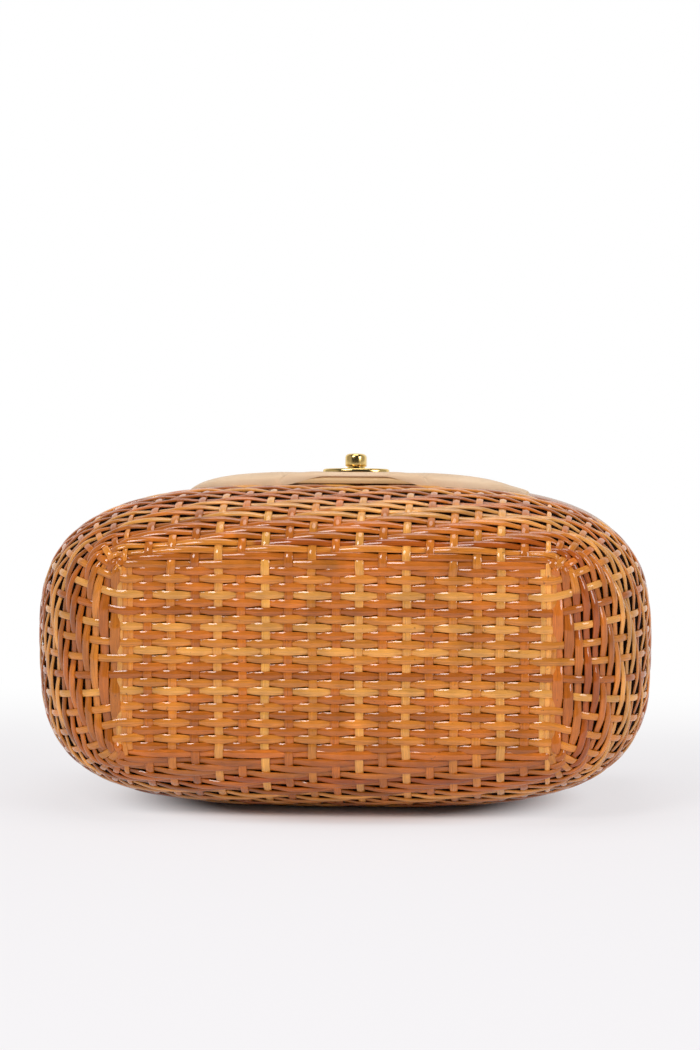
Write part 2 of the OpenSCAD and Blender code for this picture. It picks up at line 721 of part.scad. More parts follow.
module lock_back_plate() {
    color("gold") lie_down() lock_place() translate([0, 0, -backing_t - flap_t - plate_seat - back_plate_t])
        difference() {
            cylinder(h = back_plate_t, r = back_plate_r);
            translate([0, 0, -over]) cylinder(h = back_plate_t + 2 * over, r = spindle_r + run_fit);
        }
}

module lock_tongue() {
    tip = tongue_l - tongue_w / 2;
    color("gold") lie_down() lock_place() translate([0, 0, tongue_z]) difference() {
        union() {
            cylinder(h = tongue_t, r = tongue_w / 2);
            translate([-tongue_w / 2, 0, 0]) cube([tongue_w, tip, tongue_t]);
            translate([0, tip, 0]) cylinder(h = tongue_t, r = tongue_w / 2);
        }
        translate([0, 0, -over]) cylinder(h = tongue_t + 2 * over, r = spindle_r);
    }
}

// Keeper: a lip on the front wall, beside the spindle, that the tip of the tongue turns under
keeper_x = tongue_l + 2 * seat;
lip_z = tongue_z + tongue_t + seat;
foot_z = -plate_lift + seat / 2;
keeper_rivet_l = keeper_t + wall_t;
module keeper_place(way) {
    lock_place()
        translate([keeper_x + keeper_t + keeper_foot / 2, way * keeper_w / 4, foot_z + keeper_t])
            children();
}

module keeper() {
    color("gold") lie_down() difference() {
        lock_place() translate([keeper_x, -keeper_w / 2, 0]) {
            translate([0, 0, foot_z]) cube([keeper_t + keeper_foot, keeper_w, keeper_t]);
            translate([0, 0, foot_z]) cube([keeper_t, keeper_w, lip_z + keeper_t - foot_z]);
            translate([-keeper_lip, 0, lip_z]) cube([keeper_lip + keeper_t, keeper_w, keeper_t]);
        }
        for (way = [-1, 1])
            keeper_place(way) cylinder(h = 2 * (keeper_t + over), r = rivet_r + run_fit, center = true);
    }
}

rivet_head_r_share = 1.9;
rivet_head_h_share = 0.6;
module keeper_rivets() {
    color("gold") lie_down() for (way = [-1, 1]) keeper_place(way) {
        cylinder(h = rivet_r * rivet_head_h_share, r1 = rivet_r * rivet_head_r_share, r2 = rivet_r);
        translate([0, 0, -keeper_rivet_l]) cylinder(h = keeper_rivet_l, r = rivet_r);
    }
}

// Handle: a rolled leather arch that hangs towards the back of the lid, on two lugs

module handle_axis(way) {
    translate([way * handle_x, 0, pivot_z]) rotate([0, 90, 0]) children();
}
module handle_arm(way, from, to, r) {
    translate([way * handle_x, from, pivot_z]) rotate([-90, 0, 0]) cylinder(h = to - from, r = r);
}

module handle_grip() {
    color("tan") lie_down() {
        translate([0, sleeve_end, pivot_z])
            rotate_extrude(angle = 180) translate([handle_x, 0]) circle(r = grip_r);
        for (way = [-1, 1]) handle_arm(way, grip_start, sleeve_end, grip_r);
    }
}

module handle_eye(way) {
    color("gold") lie_down() difference() {
        union() {
            handle_axis(way) cylinder(h = eye_l, r = eye_r, center = true);
            handle_arm(way, 0, sleeve_start + sleeve_t, eye_l * eye_neck_share);
            handle_arm(way, sleeve_start, sleeve_end, sleeve_r);
        }
        handle_axis(way) cylinder(h = eye_l + 2 * over, r = handle_pin_r + run_fit, center = true);
        handle_arm(way, grip_start, sleeve_end + over, grip_r + run_fit);
    }
}

module handle_eye_left() handle_eye(-1);
module handle_eye_right() handle_eye(1);

module handle_lug(way) {
    ear_x = eye_l / 2 + ear_gap + ear_t / 2;
    color("gold") lie_down() difference() {
        union() {
            translate([way * handle_x, 0, cover_top]) cylinder(h = lug_foot_t, r = lug_foot_r);
            translate([way * handle_x, 0, board_z])
                cylinder(h = cover_top - board_z + lug_foot_t, r = lug_stem_r);
            for (side = [-1, 1]) translate([way * handle_x + side * ear_x, 0, pivot_z]) {
                rotate([0, 90, 0]) cylinder(h = ear_t, r = eye_r, center = true);
                translate([-ear_t / 2, -eye_r, cover_top - pivot_z]) cube([ear_t, 2 * eye_r, pivot_h]);
            }
        }
        handle_axis(way)
            cylinder(h = eye_l + 2 * (ear_gap + ear_t + over), r = handle_pin_r + run_fit, center = true);
    }
}

module handle_lug_left() handle_lug(-1);
module handle_lug_right() handle_lug(1);

module handle_pin(way) {
    color("gold") lie_down() handle_axis(way)
        cylinder(h = eye_l + 2 * (ear_gap + ear_t), r = handle_pin_r, center = true);
}

module handle_pin_left() handle_pin(-1);
module handle_pin_right() handle_pin(1);

basket_body();
basket_lining();
rim_hoop_outer();
rim_hoop_inner();
hinge_leaf_body_left();
hinge_leaf_body_right();
hinge_leaf_lid_left();
hinge_leaf_lid_right();
hinge_pin_left();
hinge_pin_right();
hinge_screws_body();
hinge_screws_lid();
lid_board();
lid_cover();
lid_lining();
front_flap();
flap_backing();
lock_plate();
lock_knob();
lock_back_plate();
lock_tongue();
keeper();
keeper_rivets();
handle_grip();
handle_eye_left();
handle_eye_right();
handle_lug_left();
handle_lug_right();
handle_pin_left();
handle_pin_right();
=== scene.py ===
import bmesh
import bpy
import math
import numpy as np
from mathutils import Matrix, Vector


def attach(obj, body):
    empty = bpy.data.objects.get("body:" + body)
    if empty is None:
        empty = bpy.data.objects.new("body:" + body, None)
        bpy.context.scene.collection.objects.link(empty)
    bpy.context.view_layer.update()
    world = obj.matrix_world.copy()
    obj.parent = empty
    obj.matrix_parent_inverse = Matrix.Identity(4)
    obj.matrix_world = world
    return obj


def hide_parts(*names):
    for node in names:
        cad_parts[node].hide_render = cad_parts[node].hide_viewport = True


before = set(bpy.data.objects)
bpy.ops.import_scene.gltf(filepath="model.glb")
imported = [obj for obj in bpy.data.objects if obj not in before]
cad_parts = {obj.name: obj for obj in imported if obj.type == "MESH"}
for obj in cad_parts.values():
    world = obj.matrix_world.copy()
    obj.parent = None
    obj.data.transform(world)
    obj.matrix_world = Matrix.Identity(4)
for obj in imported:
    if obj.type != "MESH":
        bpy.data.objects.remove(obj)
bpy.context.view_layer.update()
scene = bpy.context.scene
scene.view_settings.view_transform = "Standard"

def linear(hexColour):
    parts = [int(hexColour[i:i + 2], 16) / 255 for i in (0, 2, 4)]
    return [c / 12.92 if c <= 0.04045 else ((c + 0.055) / 1.055) ** 2.4 for c in parts] + [1.0]


# a node given as an input is linked by its first output
def addNode(tree, kind, inputs=None, **settings):
    node = tree.nodes.new(kind)
    for name, value in settings.items():
        setattr(node, name, value)
    for key, value in (inputs or {}).items():
        if isinstance(value, bpy.types.Node):
            value = next(out for out in value.outputs if out.enabled)
        if isinstance(value, bpy.types.NodeSocket):
            tree.links.new(value, node.inputs[key])
        else:
            node.inputs[key].default_value = value
    return node


def newMaterial(name):
    mat = bpy.data.materials.new(name)
    mat.use_nodes = True
    tree = mat.node_tree
    tree.nodes.clear()
    return mat, tree, addNode(tree, "ShaderNodeTexCoord").outputs["Object"]


mm = 1000.0  # texture scales below are features per metre: mm / size in millimetres


def newMesh(name, points, edges, faces):
    mesh = bpy.data.meshes.new(name)
    mesh.from_pydata(np.asarray(points).tolist(), edges, faces)
    return mesh


def addObject(name, mesh):
    piece = bpy.data.objects.new(name, mesh)
    scene.collection.objects.link(piece)
    return piece


def turnOut(mesh, merge=None):
    work = bmesh.new()
    work.from_mesh(mesh)
    if merge:
        bmesh.ops.remove_doubles(work, verts=work.verts, dist=merge)
    bmesh.ops.recalc_face_normals(work, faces=work.faces)
    work.to_mesh(mesh)
    work.free()
    mesh.shade_smooth()


# faces between rings of points; closed joins the last ring to the first
def ringFaces(rows, cols, closed=False):
    at = np.arange(rows * cols).reshape(rows, cols)
    low, high = (at, np.roll(at, -1, 0)) if closed else (at[:-1], at[1:])
    return at, np.stack([low, np.roll(low, -1, 1), np.roll(high, -1, 1), high], -1).reshape(-1, 4)


def unit(v):
    return v / np.linalg.norm(v, axis=-1)[..., None]


def runAlong(path):
    return np.concatenate([[0], np.cumsum(np.linalg.norm(np.diff(path, axis=0), axis=1))])


# value at z from a table of pairs
def along(table, z):
    pairs = np.array(table)
    return np.interp(z, pairs[:, 0], pairs[:, 1])


# camera: the photo looks at the base from a little above and a little to the right
shot = {
    "azimuth": 4.0,        # degrees towards +X
    "pitch": 4.9,          # degrees down
    "distance": 1.6,       # metres to the middle of the widest ring
    "picture": (700, 1050),
    "focal": 3373.0,       # in pixels of that picture
    "sensor": 36,
    "aim": (0.0, -0.0285, 0.0755),
    "aimPixel": (344.0, 646.3),
}


def makeCamera(s):
    a, p = math.radians(s["azimuth"]), math.radians(s["pitch"])
    ahead = Vector((-math.sin(a) * math.cos(p), math.cos(a) * math.cos(p), -math.sin(p)))
    right = Vector((math.cos(a), math.sin(a), 0))
    up = right.cross(ahead)
    k = s["distance"] / s["focal"]
    wide, high = s["picture"]
    offset = right * (s["aimPixel"][0] - wide / 2) * k - up * (s["aimPixel"][1] - high / 2) * k
    data = bpy.data.cameras.new("camera")
    data.sensor_width = s["sensor"]
    data.lens = s["sensor"] * s["focal"] / high
    data.clip_start, data.clip_end = 0.05, 30
    cam = addObject("camera", data)
    spot = Vector(s["aim"]) - ahead * s["distance"] - offset
    cam.matrix_world = Matrix.Translation(spot) @ Matrix((right, up, -ahead)).transposed().to_4x4()
    scene.camera = cam


makeCamera(shot)


# varnished cane: split rattan skin, long fibres, a clear brushed coat that gives small white lights
def makeCane():
    mat, t, place = newMaterial("varnishedCane")
    tint = addNode(t, "ShaderNodeAttribute", attribute_name="caneColour")
    lay = addNode(t, "ShaderNodeAttribute", attribute_name="caneLay")
    fibre = addNode(t, "ShaderNodeTexNoise", {
        "Vector": lay.outputs["Vector"], "Scale": 1.0, "Detail": 4.0, "Roughness": 0.6})
    patch = addNode(t, "ShaderNodeTexNoise", {"Vector": place, "Scale": mm / 11, "Detail": 2.0})
    fleck = addNode(t, "ShaderNodeTexNoise", {"Vector": place, "Scale": mm / 3.2, "Detail": 3.0, "Roughness": 0.7})
    streak, shade, rough = (
        addNode(t, "ShaderNodeMapRange", {"Value": v, "From Min": 0.3, "From Max": 0.7, "To Min": low, "To Max": high})
        for v, low, high in ((fibre, 0.66, 1.25), (patch, 0.84, 1.14), (patch, 0.34, 0.5)))
    both = addNode(t, "ShaderNodeMath", {0: streak, 1: shade}, operation="MULTIPLY")
    toned = addNode(t, "ShaderNodeVectorMath", {0: tint.outputs["Color"], "Scale": both}, operation="SCALE")
    spot = addNode(t, "ShaderNodeMapRange", {
        "Value": fleck, "From Min": 0.67, "From Max": 0.75, "To Min": 0.0, "To Max": 0.7})
    marked = addNode(t, "ShaderNodeMix", {"Factor": spot, "A": toned, "B": linear("5a2f12")}, data_type="RGBA")
    bump = addNode(t, "ShaderNodeBump", {"Height": fibre, "Strength": 0.25, "Distance": 0.0002})
    skin = addNode(t, "ShaderNodeBsdfPrincipled", {
        "Base Color": marked, "Roughness": rough, "IOR": 1.5, "Normal": bump,
        "Specular IOR Level": 0.08, "Coat Weight": 1.0, "Coat Roughness": 0.06, "Coat IOR": 1.52})
    addNode(t, "ShaderNodeOutputMaterial", {"Surface": skin})
    return mat


# smooth tan calf leather: fine pores, soft sheen, and painted shade that darkens the creases
def makeLeather(name, colour, dark, grain):
    mat, t, place = newMaterial(name)
    cloud = addNode(t, "ShaderNodeTexNoise", {"Vector": place, "Scale": mm / 26, "Detail": 3.0})
    pores = addNode(t, "ShaderNodeTexVoronoi", {"Vector": place, "Scale": mm / grain, "Randomness": 1.0})
    fine = addNode(t, "ShaderNodeTexNoise", {"Vector": place, "Scale": mm / 0.7, "Detail": 3.0})
    fold = addNode(t, "ShaderNodeNewGeometry")
    # painted shade: where the surface is hollow, in creases and folds, the colour is darkened towards 8a6238
    crease = addNode(t, "ShaderNodeMapRange", {
        "Value": fold.outputs["Pointiness"], "From Min": 0.46, "From Max": 0.505, "To Min": 1.0, "To Max": 0.0})
    shade = addNode(t, "ShaderNodeMapRange", {"Value": cloud, "From Min": 0.26, "From Max": 0.74})
    body = addNode(t, "ShaderNodeMix", {"Factor": shade, "A": linear(colour), "B": linear(dark)}, data_type="RGBA")
    folds = addNode(t, "ShaderNodeTexNoise", {"Vector": place, "Scale": mm / 8, "Detail": 3.0, "Distortion": 1.4})
    creaseShade = addNode(t, "ShaderNodeMath", {0: crease, 1: 0.5}, operation="MULTIPLY")
    deep = addNode(t, "ShaderNodeMix", {"Factor": creaseShade, "A": body, "B": linear("8a6238")}, data_type="RGBA")
    skinPores = addNode(t, "ShaderNodeMath", {0: pores.outputs["Distance"], 1: fine}, operation="ADD")
    height = addNode(t, "ShaderNodeMath", {0: folds, 1: 5.0, 2: skinPores}, operation="MULTIPLY_ADD")
    bump = addNode(t, "ShaderNodeBump", {"Height": height, "Strength": 0.3, "Distance": 0.00012})
    rough = addNode(t, "ShaderNodeMapRange", {"Value": fine, "To Min": 0.42, "To Max": 0.62})
    skin = addNode(t, "ShaderNodeBsdfPrincipled", {
        "Base Color": deep, "Roughness": rough, "IOR": 1.46, "Normal": bump})
    addNode(t, "ShaderNodeOutputMaterial", {"Surface": skin})
    return mat


# polished gilt brass: mirror bright, fine turning lines, slight tarnish clouds
def makeBrass():
    mat, t, place = newMaterial("polishedBrass")
    cloud = addNode(t, "ShaderNodeTexNoise", {"Vector": place, "Scale": mm / 6, "Detail": 3.0})
    scratch = addNode(t, "ShaderNodeTexNoise", {"Vector": place, "Scale": mm / 0.5, "Detail": 2.0})
    colour = addNode(t, "ShaderNodeMix", {
        "Factor": cloud, "A": linear("f3d993"), "B": linear("dfb464")}, data_type="RGBA")
    rough = addNode(t, "ShaderNodeMapRange", {"Value": cloud, "To Min": 0.08, "To Max": 0.24})
    bump = addNode(t, "ShaderNodeBump", {"Height": scratch, "Strength": 0.05, "Distance": 0.00005})
    metal = addNode(t, "ShaderNodeBsdfPrincipled", {
        "Base Color": colour, "Metallic": 1.0, "Roughness": rough, "Normal": bump})
    addNode(t, "ShaderNodeOutputMaterial", {"Surface": metal})
    return mat


# cotton lining: plain weave, drawn at 0.9 mm threads so that it shows; a dark brown cloth, kept near black as painted
# shade for the gaps between the strands
def makeLining():
    mat, t, place = newMaterial("cottonLiningGapShade")
    waves = {"Vector": place, "Scale": mm / 0.9 / 6.283, "Distortion": 0.4}
    warp, weft = (addNode(t, "ShaderNodeTexWave", waves, bands_direction=way) for way in ("X", "DIAGONAL"))
    thread = addNode(t, "ShaderNodeMath", {0: warp.outputs["Fac"], 1: weft.outputs["Fac"]}, operation="MULTIPLY")
    cloud = addNode(t, "ShaderNodeTexNoise", {"Vector": place, "Scale": mm / 30, "Detail": 2.0})
    # partly painted shade: the cloth's own dark brown is taken almost to black so that the gaps between the strands
    # look shaded
    mixed = addNode(t, "ShaderNodeMix", {
        "Factor": cloud, "A": linear("241206"), "B": linear("341b0b")}, data_type="RGBA")
    bump = addNode(t, "ShaderNodeBump", {"Height": thread, "Strength": 0.4, "Distance": 0.0003})
    cloth = addNode(t, "ShaderNodeBsdfPrincipled", {
        "Base Color": mixed, "Roughness": 0.9, "Normal": bump, "Specular IOR Level": 0.06})
    addNode(t, "ShaderNodeOutputMaterial", {"Surface": cloth})
    return mat


# steam-bent ash or planed ply: long grain along the hoop, thin varnish
def makeWood(name, light, dark, coat):
    mat, t, place = newMaterial(name)
    stretch = addNode(t, "ShaderNodeMapping", {"Vector": place, "Scale": (mm / 60, mm / 2.2, mm / 14)})
    grain = addNode(t, "ShaderNodeTexNoise", {"Vector": stretch, "Scale": 1.0, "Detail": 5.0, "Roughness": 0.6})
    ring = addNode(t, "ShaderNodeMapRange", {"Value": grain, "From Min": 0.35, "From Max": 0.65})
    colour = addNode(t, "ShaderNodeMix", {"Factor": ring, "A": linear(light), "B": linear(dark)}, data_type="RGBA")
    bump = addNode(t, "ShaderNodeBump", {"Height": grain, "Strength": 0.2, "Distance": 0.0002})
    wood = addNode(t, "ShaderNodeBsdfPrincipled", {
        "Base Color": colour, "Roughness": 0.42, "Normal": bump, "Coat Weight": coat, "Coat Roughness": 0.2})
    addNode(t, "ShaderNodeOutputMaterial", {"Surface": wood})
    return mat


# waxed linen thread
def makeThread():
    mat, t, place = newMaterial("waxedThread")
    ply = addNode(t, "ShaderNodeTexNoise", {"Vector": place, "Scale": mm / 0.4, "Detail": 2.0})
    colour = addNode(t, "ShaderNodeMix", {
        "Factor": ply, "A": linear("d8b98a"), "B": linear("b08a55")}, data_type="RGBA")
    bump = addNode(t, "ShaderNodeBump", {"Height": ply, "Strength": 0.3, "Distance": 0.0001})
    cord = addNode(t, "ShaderNodeBsdfPrincipled", {"Base Color": colour, "Roughness": 0.6, "Normal": bump})
    addNode(t, "ShaderNodeOutputMaterial", {"Surface": cord})
    return mat


cane = makeCane()
leather = makeLeather("tanCalf", "e5c9aa", "d6b48f", 1.1)
backingLeather = makeLeather("edgeLeather", "dcb688", "cba371", 1.3)
brass = makeBrass()
lining = makeLining()
hoopWood = makeWood("bentAsh", "b5722f", "8c4f1d", 0.5)
boardWood = makeWood("birchPly", "c9a577", "b08a5a", 0.0)
thread = makeThread()
print("materials made")

# basket: the same outline and wall as the CAD, in millimetres with the bag upright
basket = {
    "girthW": 290, "girthD": 151.6, "girthH": 56, "rimH": 136, "rimInset": 7, "power": 3.3,
    "relief": 0.8, "frontStakes": 19, "stakePitch": 10.8, "endStakes": 11, "cornerStakes": 3,
    "rowPitch": 3.7, "marginX": 2.5, "marginY": 1.7, "shoulderBands": 9, "upperBands": 9, "hoopH": 13, "ease": 0.86,
    "middleH": 84.47,          # height of the frame's origin over the base
}
b = basket
halfW, halfD = b["girthW"] / 2 - b["relief"], b["girthD"] / 2 - b["relief"]
endCount = b["endStakes"] + 2 * b["cornerStakes"]
stakeCount = 2 * (b["frontStakes"] + endCount)
halfCount = stakeCount // 2
stakeReach = (b["frontStakes"] - 1) / 2 * b["stakePitch"]
baseRows = 2 * b["endStakes"] + 1
rowReach = (baseRows - 1) / 2 * b["rowPitch"]
baseHalfW, baseHalfD = stakeReach + b["marginX"], rowReach + b["marginY"]
straightH = b["rimH"] - b["hoopH"] - (b["rimH"] - b["girthH"]) / b["upperBands"]


def toFrame(p):
    p = np.asarray(p, float)
    return np.stack([p[..., 0], p[..., 2] - b["middleH"], b["girthD"] / 2 - p[..., 1]], -1) / 1000


def turnToFrame(v):
    return np.stack([v[:, 0], v[:, 2], -v[:, 1]], 1)


def outlineY(x):
    return halfD * (1 - (np.abs(x) / halfW) ** b["power"]) ** (1 / b["power"])


def outward(ring):
    g = np.sign(ring) * (np.abs(ring) / [halfW, halfD]) ** (b["power"] - 1) / [halfW, halfD]
    return unit(g)


def oval(turn):
    c, s, k = np.cos(turn), np.sin(turn), 2 / b["power"]
    return np.stack([np.sign(c) * halfW * np.abs(c) ** k, np.sign(s) * halfD * np.abs(s) ** k], -1)


def endPoint(q):
    turn = math.acos((stakeReach / halfW) ** (b["power"] / 2)) * np.abs(q) ** (b["power"] / 2)
    return oval(turn) * np.stack([np.ones_like(q), np.sign(q)], -1)


def makeRings():
    fine = endPoint(np.linspace(-1, 1, 401))
    run = runAlong(fine)
    at = np.linspace(0, run[-1], endCount + 2)[1:-1]
    ends = np.stack([np.interp(at, run, fine[:, k]) for k in (0, 1)], 1)
    xs = np.arange(b["frontStakes"]) * b["stakePitch"] - stakeReach
    girthHalf = np.concatenate([np.stack([xs, -outlineY(xs)], 1), ends])
    turns = np.radians(90 * np.arange(1, b["cornerStakes"] + 1) / (b["cornerStakes"] + 1))
    r = b["marginX"]
    corner = np.stack([baseHalfW - r + r * np.sin(turns), baseHalfD - r + r * np.cos(turns)], 1)
    ys = (2 * np.arange(b["endStakes"]) + 1) * b["rowPitch"] - rowReach
    side = np.stack([np.full(len(ys), baseHalfW), ys], 1)
    baseHalf = np.concatenate([np.stack([xs, np.full(len(xs), -baseHalfD)], 1), corner * [1, -1], side, corner[::-1]])
    girth, base = np.concatenate([girthHalf, -girthHalf]), np.concatenate([baseHalf, -baseHalf])
    return girth, base, outward(girth)


girthRing, baseRing, outRing = makeRings()


def ringAt(ring, u):
    i = np.floor(u).astype(int)
    part = (u - i)[..., None]
    return ring[i % stakeCount] * (1 - part) + ring[(i + 1) % stakeCount] * part


# a place on the wall: u counts stakes, level 0 is the edge of the base, 1 the widest ring, 2 the mouth
def wallPoint(u, level, depth):
    u, level, depth = np.broadcast_arrays(np.asarray(u, float), np.asarray(level, float), np.asarray(depth, float))
    girth, base, out = ringAt(girthRing, u), ringAt(baseRing, u), ringAt(outRing, u)
    turn = np.radians(90 * np.minimum(level, 1))
    run = np.linalg.norm(girth - base, axis=-1)
    nose = unit(np.stack([b["girthH"] * np.sin(turn), -run * np.cos(turn)], -1))
    low = base + (girth - base) * np.sin(turn)[..., None] + (depth * nose[..., 0])[..., None] * out
    lowZ = b["relief"] + b["girthH"] * (1 - np.cos(turn)) + depth * nose[..., 1]
    z = b["girthH"] + b["relief"] + (level - 1) * (b["rimH"] - b["girthH"] - b["relief"])
    s = np.clip((z - b["girthH"]) / (straightH - b["girthH"]), 0, 1)
    high = girth + (depth - b["rimInset"] * s * s)[..., None] * out
    under = (level < 1)[..., None]
    flat = np.where(under, low, high)
    return np.concatenate([flat, np.where(level < 1, lowZ, z)[..., None]], -1)


def rowLevel(t):
    t = np.asarray(t, float)
    shoulder = b["shoulderBands"]
    return np.where(t <= shoulder, (np.maximum(t, 0) / shoulder) ** b["ease"], 1 + (t - shoulder) / b["upperBands"])


# weave: real strands, two to a band of the solid
weave = {
    "weaverWidth": 3.6, "weaverThick": 1.35, "weaverLift": 0.9, "firstRow": 0.3, "smoothing": 6,
    "fill": [(0, 0.98), (5, 0.92), (14, 0.66), (21, 0.96)],     # row and share of its room that a weaver takes
    "narrowest": 0.58, "widest": 1.08, "widestFirst": 1.35,
    "endLoss": 0.24, "endRows": [(0, 0), (3, 1), (14, 1), (18, 0)],     # the end walls are more open
    "wander": (0.16, 0.08),    # slow and quick drift of a weaver off its line
    "stakeWidth": 4.1, "stakeThick": 1.15, "stakeLift": 0.42, "stakeLean": 0.4,
    "stakeTaper": [(0, 1), (2, 0.92), (8, 0.8)],
    "rowWidth": 4.05, "rowPinch": 0.84, "rowLift": 0.7, "rowBow": 0.22, "rowEnd": 1.4, "rowEndShare": 0.92,
    "upShare": 0.9, "cornerShare": 0.85, "cornerStart": 0.12, "wallStart": 0.02,
    "seatDepth": -0.45, "stripWidth": 2.6, "stripGap": 2.45, "stripRise": 0.4,
    "edgeShare": 0.5, "weaverSteps": 5, "stakeSteps": 3, "rowSteps": 6, "baseSteps": 4, "sharpAngle": 38, "seed": 7,
    "fibre": (9, 10, 26), "strandShift": 0.37,     # millimetres of a streak, then its scale by strand and round it
    "drift": 0.06, "driftEvery": 12,     # how much a tone changes, and after how many points
    "light": "df9a48", "gold": "cd7d2c", "orange": "c06a1f", "amber": "b36018", "brown": "a65819", "rust": "a34d0f",
    "pale": "d59144", "pink": "b16430",
    "weaverTones": [(2, "orange gold amber"), (8, "rust orange amber orange gold"), (12, "pale gold orange light"),
                    (99, "pink pale brown orange gold")],     # up to which row, and its tones
    "rowTones": "orange gold orange light orange amber gold light orange gold light gold orange amber gold light "
                "orange gold amber gold orange gold amber",
}
w = weave
rng = np.random.default_rng(w["seed"])
wallRows = 2 * (b["shoulderBands"] + b["upperBands"])


def swell(c):
    return c * (1.5 - 0.5 * c * c)


def tone(name, spread=0.07):
    c = np.array(linear(w[name])[:3])
    return c * (1 + rng.normal(0, spread)) * (1 + rng.normal(0, spread / 3, 3))


# one colour for each spliced length, with slow changes along it
def tones(n, names, perSplice, spread=0.07):
    cuts = np.sort(rng.integers(0, n, max(1, round(n / perSplice))))
    part = np.searchsorted(cuts, np.arange(n), side="right") % len(cuts)
    colours = np.array([tone(rng.choice(names), spread) for _ in cuts])[part]
    knots = np.arange(0, n + w["driftEvery"], w["driftEvery"])
    drift = np.interp(np.arange(n), knots, rng.normal(0, w["drift"], len(knots)))
    return colours * (1 + drift)[:, None]


def smoothLoop(p, times):
    for _ in range(times):
        p = (np.roll(p, 1, 0) + 2 * p + np.roll(p, -1, 0)) / 4
    return p


def smoothPath(p, times):
    p = p.copy()
    for _ in range(times):
        p[1:-1] = (p[:-2] + 2 * p[1:-1] + p[2:]) / 4
    return p


def makeWeaver(row):
    count = stakeCount * w["weaverSteps"]
    u = np.arange(count) / w["weaverSteps"]
    level = float(rowLevel((row + w["firstRow"]) / 2))
    mid, lifted = (smoothLoop(wallPoint(u, level, depth), w["smoothing"]) for depth in (0, 1))
    out = unit(lifted - mid)
    wave = swell(np.cos(2 * math.pi * (u - row - 0.5) / 4))
    depth = w["seatDepth"] + w["weaverLift"] * wave + rng.normal(0, 0.05)
    wander = unit(np.cross(out, np.roll(mid, -1, 0) - mid))
    slow, quick = w["wander"]
    drift = slow * np.sin(u * 2 * math.pi / stakeCount * rng.integers(3, 9) + rng.uniform(0, 6))
    drift = drift + quick * np.sin(u * 1.1 + rng.uniform(0, 6))
    points = mid + out * depth[:, None] + wander * drift[:, None]
    names = next(names.split() for upTo, names in w["weaverTones"] if row < upTo)
    below, above = (wallPoint(u, float(rowLevel(max(0, row + w["firstRow"] + k) / 2)), 0) for k in (-1, 1))
    room = smoothLoop(np.linalg.norm(above - below, axis=1), w["smoothing"]) / (2 if row else 1 + w["firstRow"])
    widest = w["widestFirst"] if row < 2 else w["widest"]
    share = np.clip(along(w["fill"], row) * room / w["weaverWidth"], w["narrowest"], widest)
    share *= 1 - w["endLoss"] * np.abs(out[:, 0]) * along(w["endRows"], row)
    full = share * (0.98 + 0.05 * wave + rng.normal(0, 0.02))
    return dict(points=points, normals=out, full=full, colour=tones(count, names, count / 4), loop=True)


# depth of a stake in the wall, which is under a weaver where the weaver is over it
def stakeWave(i, t):
    row = t * 2 - w["firstRow"]
    return -swell(np.cos(2 * math.pi * (i - row - 0.5) / 4)) * np.clip(row + 1, 0, 1)


def wallStake(i, first=0.0, share=1.0):
    steps = wallRows * w["stakeSteps"]
    t = np.linspace(first, b["shoulderBands"] + b["upperBands"], steps)
    level = rowLevel(t)
    mid, lifted = (wallPoint(np.full(steps, float(i)), level, depth) for depth in (0, 1))
    out = lifted - mid
    depth = w["seatDepth"] + w["stakeLift"] * stakeWave(i, t)
    return mid + out * depth[:, None], out, share * along(w["stakeTaper"], t)


def baseWave(c, k):
    return swell(np.cos(math.pi * (c + k + 1)))


# a strand of the base runs on up two walls
def joinWalls(strand, first, second):
    before = [part[::-1] for part in first]
    points, normals, full = (np.concatenate([p, q[1:-1], r]) for p, q, r in zip(before, strand, second))
    return smoothPath(points, 1), normals, full


# a row of the base; every second one runs on up both end walls as a stake
def makeRow(k):
    y = k * b["rowPitch"] - rowReach
    on = k % 2 == 1
    steps = (b["frontStakes"] + 1) * w["rowSteps"]
    reach = baseHalfW if on else stakeReach + w["rowEnd"]
    x = np.linspace(-reach, reach, steps)
    c = (x + stakeReach) / b["stakePitch"]
    wave = baseWave(c, k)
    past = np.clip((np.abs(x) - stakeReach) / b["marginX"], 0, 1)
    wave = wave * (1 - past) + past * (1.0 if on else -1.0)
    bow = w["rowBow"] * np.sin(c * 0.9 + k * 1.7) * (1 - past)
    points = np.stack([x, y + bow, b["relief"] - (w["seatDepth"] + w["rowLift"] * wave)], 1)
    normals = np.tile([0.0, 0.0, -1.0], (steps, 1))
    full = 0.5 * (1 + w["rowPinch"]) + 0.5 * (1 - w["rowPinch"]) * wave + rng.normal(0, 0.012, steps)
    full = full * (1 - past) + past * w["rowEndShare"]
    if on:
        kk = (k - 1) // 2
        first = b["frontStakes"] + b["cornerStakes"]
        right = wallStake(first + kk, w["wallStart"], w["upShare"])
        left = wallStake(halfCount + first + b["endStakes"] - 1 - kk, w["wallStart"], w["upShare"])
        points, normals, full = joinWalls((points, normals, full), left, right)
    n = len(points)
    colour = tones(n, [w["rowTones"].split()[k]], n, 0.04)
    return dict(points=points, normals=normals, full=full, colour=colour, loop=False)


